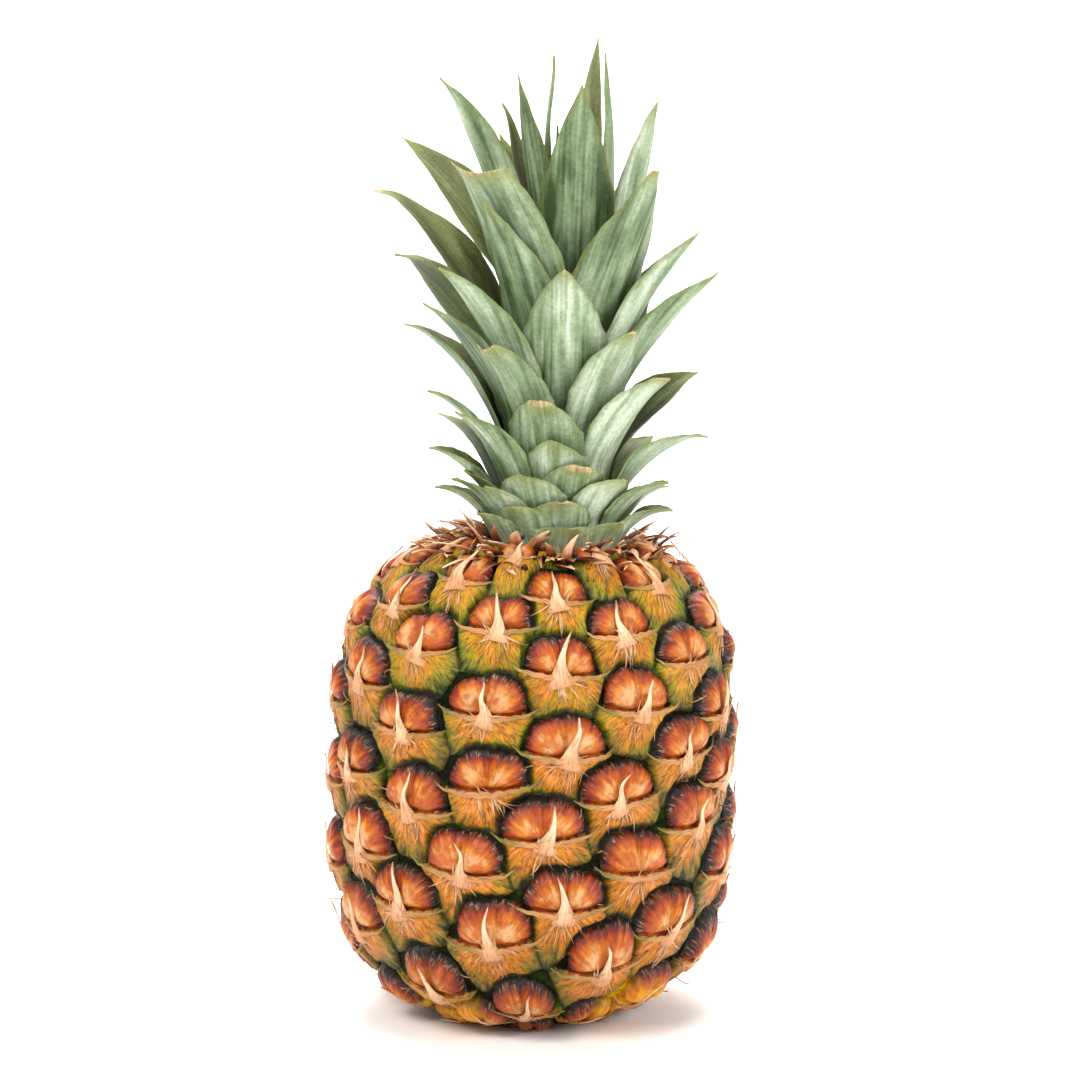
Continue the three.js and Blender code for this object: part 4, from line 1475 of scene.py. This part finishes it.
@dataclass(frozen=True)
class LeafFinish:
    """Pineapple leaf: grey-green under a pale waxy bloom, with fine lengthwise veins, olive edges darkened
    further as painted shade, short low leaves lightened as painted light, and a dry brown tip. It gives the
    eye a cool, dusty green over the warm fruit."""

    roughness: float = 0.5
    ior: float = 1.45
    vein_mm: float = 1.05

    def make(self) -> bpy.types.Material:
        """Build the leaf's material.

        Returns:
            The material.
        """
        material, tree, shader = new_material("pineapple_leaf")
        add = partial(add_node, tree)
        place_node = add("Attribute", {"attribute_name": "place"})
        face = read_attribute(tree, "place")[2]
        part = read_attribute(tree, "part")
        spot = add("TexCoord")
        seed = add("CombineXYZ", links={2: part[2]})
        long_thin = add("Mapping", links={"Vector": place_node, "Scale": (1 / self.vein_mm, 0.022, 0.0)})
        seeded = add("VectorMath", TIMES_PLUS, {0: seed, 1: (0.0, 0.0, 80.0), 2: long_thin})
        vein = add("TexNoise", links={"Vector": seeded, "Scale": 1.0, "Detail": 2.5, "Roughness": 0.6})
        wide = add("Mapping", links={"Vector": place_node, "Scale": (0.22, 0.03, 0.0)})
        wide = add("VectorMath", TIMES_PLUS, {0: seed, 1: (0.0, 0.0, 50.0), 2: wide})
        band = add("TexNoise", links={"Vector": wide, "Scale": 1.0, "Detail": 3.0, "Roughness": 0.55})
        bloom = add("TexNoise", links={"Vector": spot, "Scale": 55.0, "Detail": 5.0, "Roughness": 0.65})
        speck = add("TexNoise", links={"Vector": spot, "Scale": 900.0, "Detail": 2.0, "Roughness": 0.5})

        mixed = add("Math", TIMES_PLUS, {0: vein, 1: 0.55, 2: -0.275})
        mixed = add("Math", PLUS, {0: mixed, 1: band})
        mixed = add("Math", TIMES_PLUS, {0: bloom, 1: 0.5, 2: mixed})
        # Painted light: the leaf tone lightens the short low leaves against their shade, besides varying
        # every leaf at random.
        mixed = add("Math", TIMES_PLUS, {0: part[2], 1: 0.42, 2: mixed})
        mixed = add("Math", MINUS, {0: mixed, 1: 0.37})
        back = add("ValToRGB", {"stops": [
            (0.26, "#3A4E2E"), (0.41, "#6B8259"), (0.57, "#93A684"), (0.76, "#C4D0B8"),
        ]}, {0: mixed})
        hollow = add("ValToRGB", {"stops": [
            (0.24, "#2F371A"), (0.46, "#4B532B"), (0.66, "#6B7243"), (0.86, "#8E946C"),
        ]}, {0: mixed})
        is_back = add("MapRange", links={0: face, 1: -0.2, 2: 0.2})
        colour = add("Mix", BLEND, {0: is_back, 6: hollow, 7: back})

        foot = add(
            "ValToRGB", {"stops": [(0.0, "#C8C8C8"), (0.14, "#303030"), (0.3, "#000000")]}, {0: part[1]}
        )
        colour = add("Mix", BLEND, {0: foot, 6: colour, 7: linear("#A3B08C")})

        age = read_attribute(tree, "age")
        wander = add("Math", MINUS, {0: bloom, 1: 0.5})
        # Olive band along the edges: partly the leaf's own olive margin, partly painted shade that darkens
        # the edges against the pale middle.
        edge = add("Math", TIMES_PLUS, {0: wander, 1: 2.4, 2: age[2]})
        edge = add("MapRange", links={0: edge, 1: 0.2, 2: 1.9, 3: 0.7, 4: 0.0})
        colour = add("Mix", BLEND, {0: edge, 6: colour, 7: linear("#66763C")})

        to_tip = add("Math", TIMES_PLUS, {0: wander, 1: -0.9, 2: age[1]})
        olive = add("MapRange", links={0: to_tip, 1: 0.08, 2: 0.8, 3: 0.75, 4: 0.0})
        colour = add("Mix", BLEND, {0: olive, 6: colour, 7: linear("#848A48")})
        to_dry = add("Math", TIMES_PLUS, {0: age[0], 1: -0.2, 2: to_tip})
        dryness = add("MapRange", links={0: to_dry, 1: -0.06, 2: 0.06, 3: 1.0, 4: 0.0})
        dry = add("ValToRGB", {"stops": [(0.35, "#8A7446"), (0.55, "#B29C6A"), (0.7, "#CDBB8E")]}, {0: vein})
        colour = add("Mix", BLEND, {0: dryness, 6: colour, 7: dry})
        dusted = add("ValToRGB", {"stops": [(0.35, "#E2E2E2"), (0.6, "#FFFFFF")]}, {0: speck})
        colour = add("Mix", TINT, {0: 0.9, 6: colour, 7: dusted})
        tree.links.new(colour, shader.inputs["Base Color"])
        rough = add(
            "MapRange", links={0: bloom, 1: 0.3, 2: 0.7, 3: self.roughness - 0.08, 4: self.roughness + 0.15}
        )
        tree.links.new(rough, shader.inputs["Roughness"])
        shader.inputs["IOR"].default_value = self.ior
        shader.inputs["Subsurface Weight"].default_value = 0.05
        shader.inputs["Subsurface Scale"].default_value = 0.0015
        bump = add("Bump", links={"Height": vein, "Strength": 0.55, "Distance": 0.0003})
        tree.links.new(bump, shader.inputs["Normal"])
        return material


@dataclass(frozen=True)
class StemFinish:
    """Crown stem: dark olive-green, dense flesh with lengthwise fibres, seen only deep between the leaf feet.
    """

    roughness: float = 0.6
    ior: float = 1.4

    def make(self) -> bpy.types.Material:
        """Build the stem's material.

        Returns:
            The material.
        """
        material, tree, shader = new_material("pineapple_stem")
        add = partial(add_node, tree)
        spot = add("TexCoord")
        long_thin = add("Mapping", links={"Vector": spot, "Scale": (900.0, 900.0, 60.0)})
        fibre = add("TexNoise", links={"Vector": long_thin, "Scale": 1.0, "Detail": 3.0})
        colour = add(
            "ValToRGB", {"stops": [(0.3, "#39451F"), (0.5, "#55622F"), (0.7, "#76824C")]}, {0: fibre}
        )
        tree.links.new(colour, shader.inputs["Base Color"])
        rough = add("MapRange", links={0: fibre, 3: self.roughness - 0.1, 4: self.roughness + 0.15})
        tree.links.new(rough, shader.inputs["Roughness"])
        shader.inputs["IOR"].default_value = self.ior
        return material


@dataclass(frozen=True)
class PaperFinish:
    """Matt white paper sweep under the fruit, so that the fruit has a plain pale ground."""

    def make(self) -> bpy.types.Material:
        """Build the paper's material.

        Returns:
            The material.
        """
        material, tree, shader = new_material("white_paper")
        add = partial(add_node, tree)
        spot = add("TexCoord")
        cloud = add("TexNoise", links={"Vector": spot, "Scale": 3.0, "Detail": 2.0})
        colour = add("ValToRGB", {"stops": [(0.3, "#FAFAF9"), (0.7, "#FCFCFB")]}, {0: cloud})
        tree.links.new(colour, shader.inputs["Base Color"])
        shader.inputs["Roughness"].default_value = 0.9
        return material


# ---------------------------------------------------------------- the studio


@dataclass
class SoftLight:
    """One soft box: its place and aim in metres, its size in metres, its power in watts and its colour."""

    name: str
    place: tuple[float, float, float]
    aim: tuple[float, float, float]
    size: float
    power: float
    colour: str = "#FFFFFF"

    def build(self) -> bpy.types.Object:
        """Add the light to the scene.

        Returns:
            The light.
        """
        data = bpy.data.lights.new(self.name, "AREA")
        data.shape = "DISK"
        data.size = self.size
        data.energy = self.power
        data.color = linear(self.colour)[:3]
        light = bpy.data.objects.new(self.name, data)
        bpy.context.scene.collection.objects.link(light)
        light.location = self.place
        light.rotation_euler = look_along(self.place, self.aim)
        return light


def look_along(place: tuple[float, float, float], aim: tuple[float, float, float]) -> Any:
    """Give the turn that points a light or camera from its place to its aim.

    Args:
        place: where it stands, in metres.
        aim: what it points at.

    Returns:
        The turn as Euler angles.
    """
    return (Vector(aim) - Vector(place)).to_track_quat("-Z", "Y").to_euler()


@dataclass
class Studio:
    """The white sweep, the lights and the camera."""

    aim: tuple[float, float, float] = (0.0038, 0.0, 0.1405)
    elevation: float = 8.0
    distance: float = 1.0
    lens: float = 113.4
    lights: tuple[SoftLight, ...] = (
        SoftLight("key", (-0.50, -0.75, 0.85), (0.0, 0.0, 0.12), 0.5, 11.0),
        SoftLight("fill", (0.80, -0.55, 0.50), (0.0, 0.0, 0.12), 0.6, 6.5),
        SoftLight("top", (0.0, 0.15, 1.15), (0.0, 0.0, 0.0), 0.9, 12.0),
        SoftLight("backdrop", (0.0, 1.6, 2.6), (0.0, 3.6, 0.4), 2.0, 160.0),
    )

    def build(self) -> None:
        """Set up everything round the fruit."""
        self._sweep()
        for light in self.lights:
            light.build()
        self._world()
        self._camera()
        bpy.context.scene.view_settings.view_transform = "Standard"

    def _sweep(self) -> bpy.types.Object:
        """Make the floor, which curves up far behind the fruit.

        Returns:
            The sweep.
        """
        angles = np.linspace(0.0, math.pi / 2, 24)
        far, bend = 2600.0, 900.0
        curve = [(far + bend * math.sin(a), bend * (1 - math.cos(a))) for a in angles]
        profile = np.array([(-3500.0, 0.0), *curve, (far + bend, 4200.0)])
        columns = np.linspace(-4500.0, 4500.0, 40)
        points = np.array([(x, y, z) for y, z in profile for x in columns])
        index = np.arange(len(points)).reshape(len(profile), len(columns))
        corners = [index[:-1, :-1], index[:-1, 1:], index[1:, 1:], index[1:, :-1]]
        quads = np.stack(corners, axis=-1).reshape(-1, 4)
        return mesh_object("sweep", points, [quads], {}, PaperFinish().make())

    def _world(self) -> None:
        """Surround the fruit with even white light."""
        world = bpy.data.worlds.new("studio_light")
        world.use_nodes = True
        background = world.node_tree.nodes["Background"]
        background.inputs["Color"].default_value = linear("#FFFFFF")
        background.inputs["Strength"].default_value = 0.42
        bpy.context.scene.world = world

    def _camera(self) -> None:
        """Set the camera in front, a little above the fruit's middle."""
        data = bpy.data.cameras.new("camera")
        data.lens = self.lens
        data.sensor_width = 36.0
        camera = bpy.data.objects.new("camera", data)
        bpy.context.scene.collection.objects.link(camera)
        tilt = math.radians(self.elevation)
        back, up = self.distance * math.cos(tilt), self.distance * math.sin(tilt)
        place = (self.aim[0], self.aim[1] - back, self.aim[2] + up)
        camera.location = place
        camera.rotation_euler = look_along(place, self.aim)
        bpy.context.scene.camera = camera


# ---------------------------------------------------------------- the whole


@dataclass
class Pineapple:
    """The fruit and its crown, piece by piece over the frame's nodes."""

    grain: Grain

    def build(self) -> None:
        """Build every piece, hang it under the root body, and hide the frame's pieces that the new ones
        replace.
        """
        barrel = Barrel()
        rind = Rind(barrel, EyePattern(barrel), self.grain)
        lips = DryBractFinish("bract_lip", "#6E6A2A", "#BB8454", "#AE7A46", "#6E6428", 0.66).make()
        spikes = DryBractFinish("bract_spike", "#C48E64", "#DDB08A", "#E8C8A8", "#9E7046", 0.75).make()
        fibres = DryBractFinish("bract_fibre", "#AE7C50", "#C4946A", "#D0A47C", "#8E6238", 0.7, 0.6).make()
        withered = DryBractFinish(
            "withered_bract", "#4A1E10", "#8A4A28", "#C48858", "#E6C09C", 0.72, 0.9
        ).make()
        thread = DryBractFinish("dry_thread", "#6B4428", "#8C6236", "#B58A5A", "#3A2818", 0.7).make()
        skin = rind.build(RindFinish().make())
        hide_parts("fruit")
        edges = BractEdges(rind)
        loose = edges.build((lips, spikes, fibres))
        loose += [NeckBracts(rind).build(withered), DryThreads(rind).build(thread)]
        for piece in [skin, *loose]:
            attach(piece, BODY)
            log.info("%s: %d points", piece.name, len(piece.data.vertices))

        leaf_material = LeafFinish().make()
        leaves = Crown().build(leaf_material)
        for node, piece in leaves:
            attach(piece, BODY)
            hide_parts(node)
        heart = Crown().build_heart(leaf_material)
        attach(heart, BODY)
        log.info("%d leaves and the heart", len(leaves))

        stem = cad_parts["crown_stem"]
        for slot_number in range(max(1, len(stem.material_slots))):
            if not stem.material_slots:
                stem.data.materials.append(StemFinish().make())
            else:
                stem.material_slots[slot_number].material = StemFinish().make()
        log.info("crown_stem is kept from the frame")


def main() -> None:
    """Build the studio and the pineapple."""
    logging.basicConfig(level=logging.INFO, format="%(message)s")
    Studio().build()
    Pineapple(Grain.FINE).build()


if __name__ == "__main__":
    main()
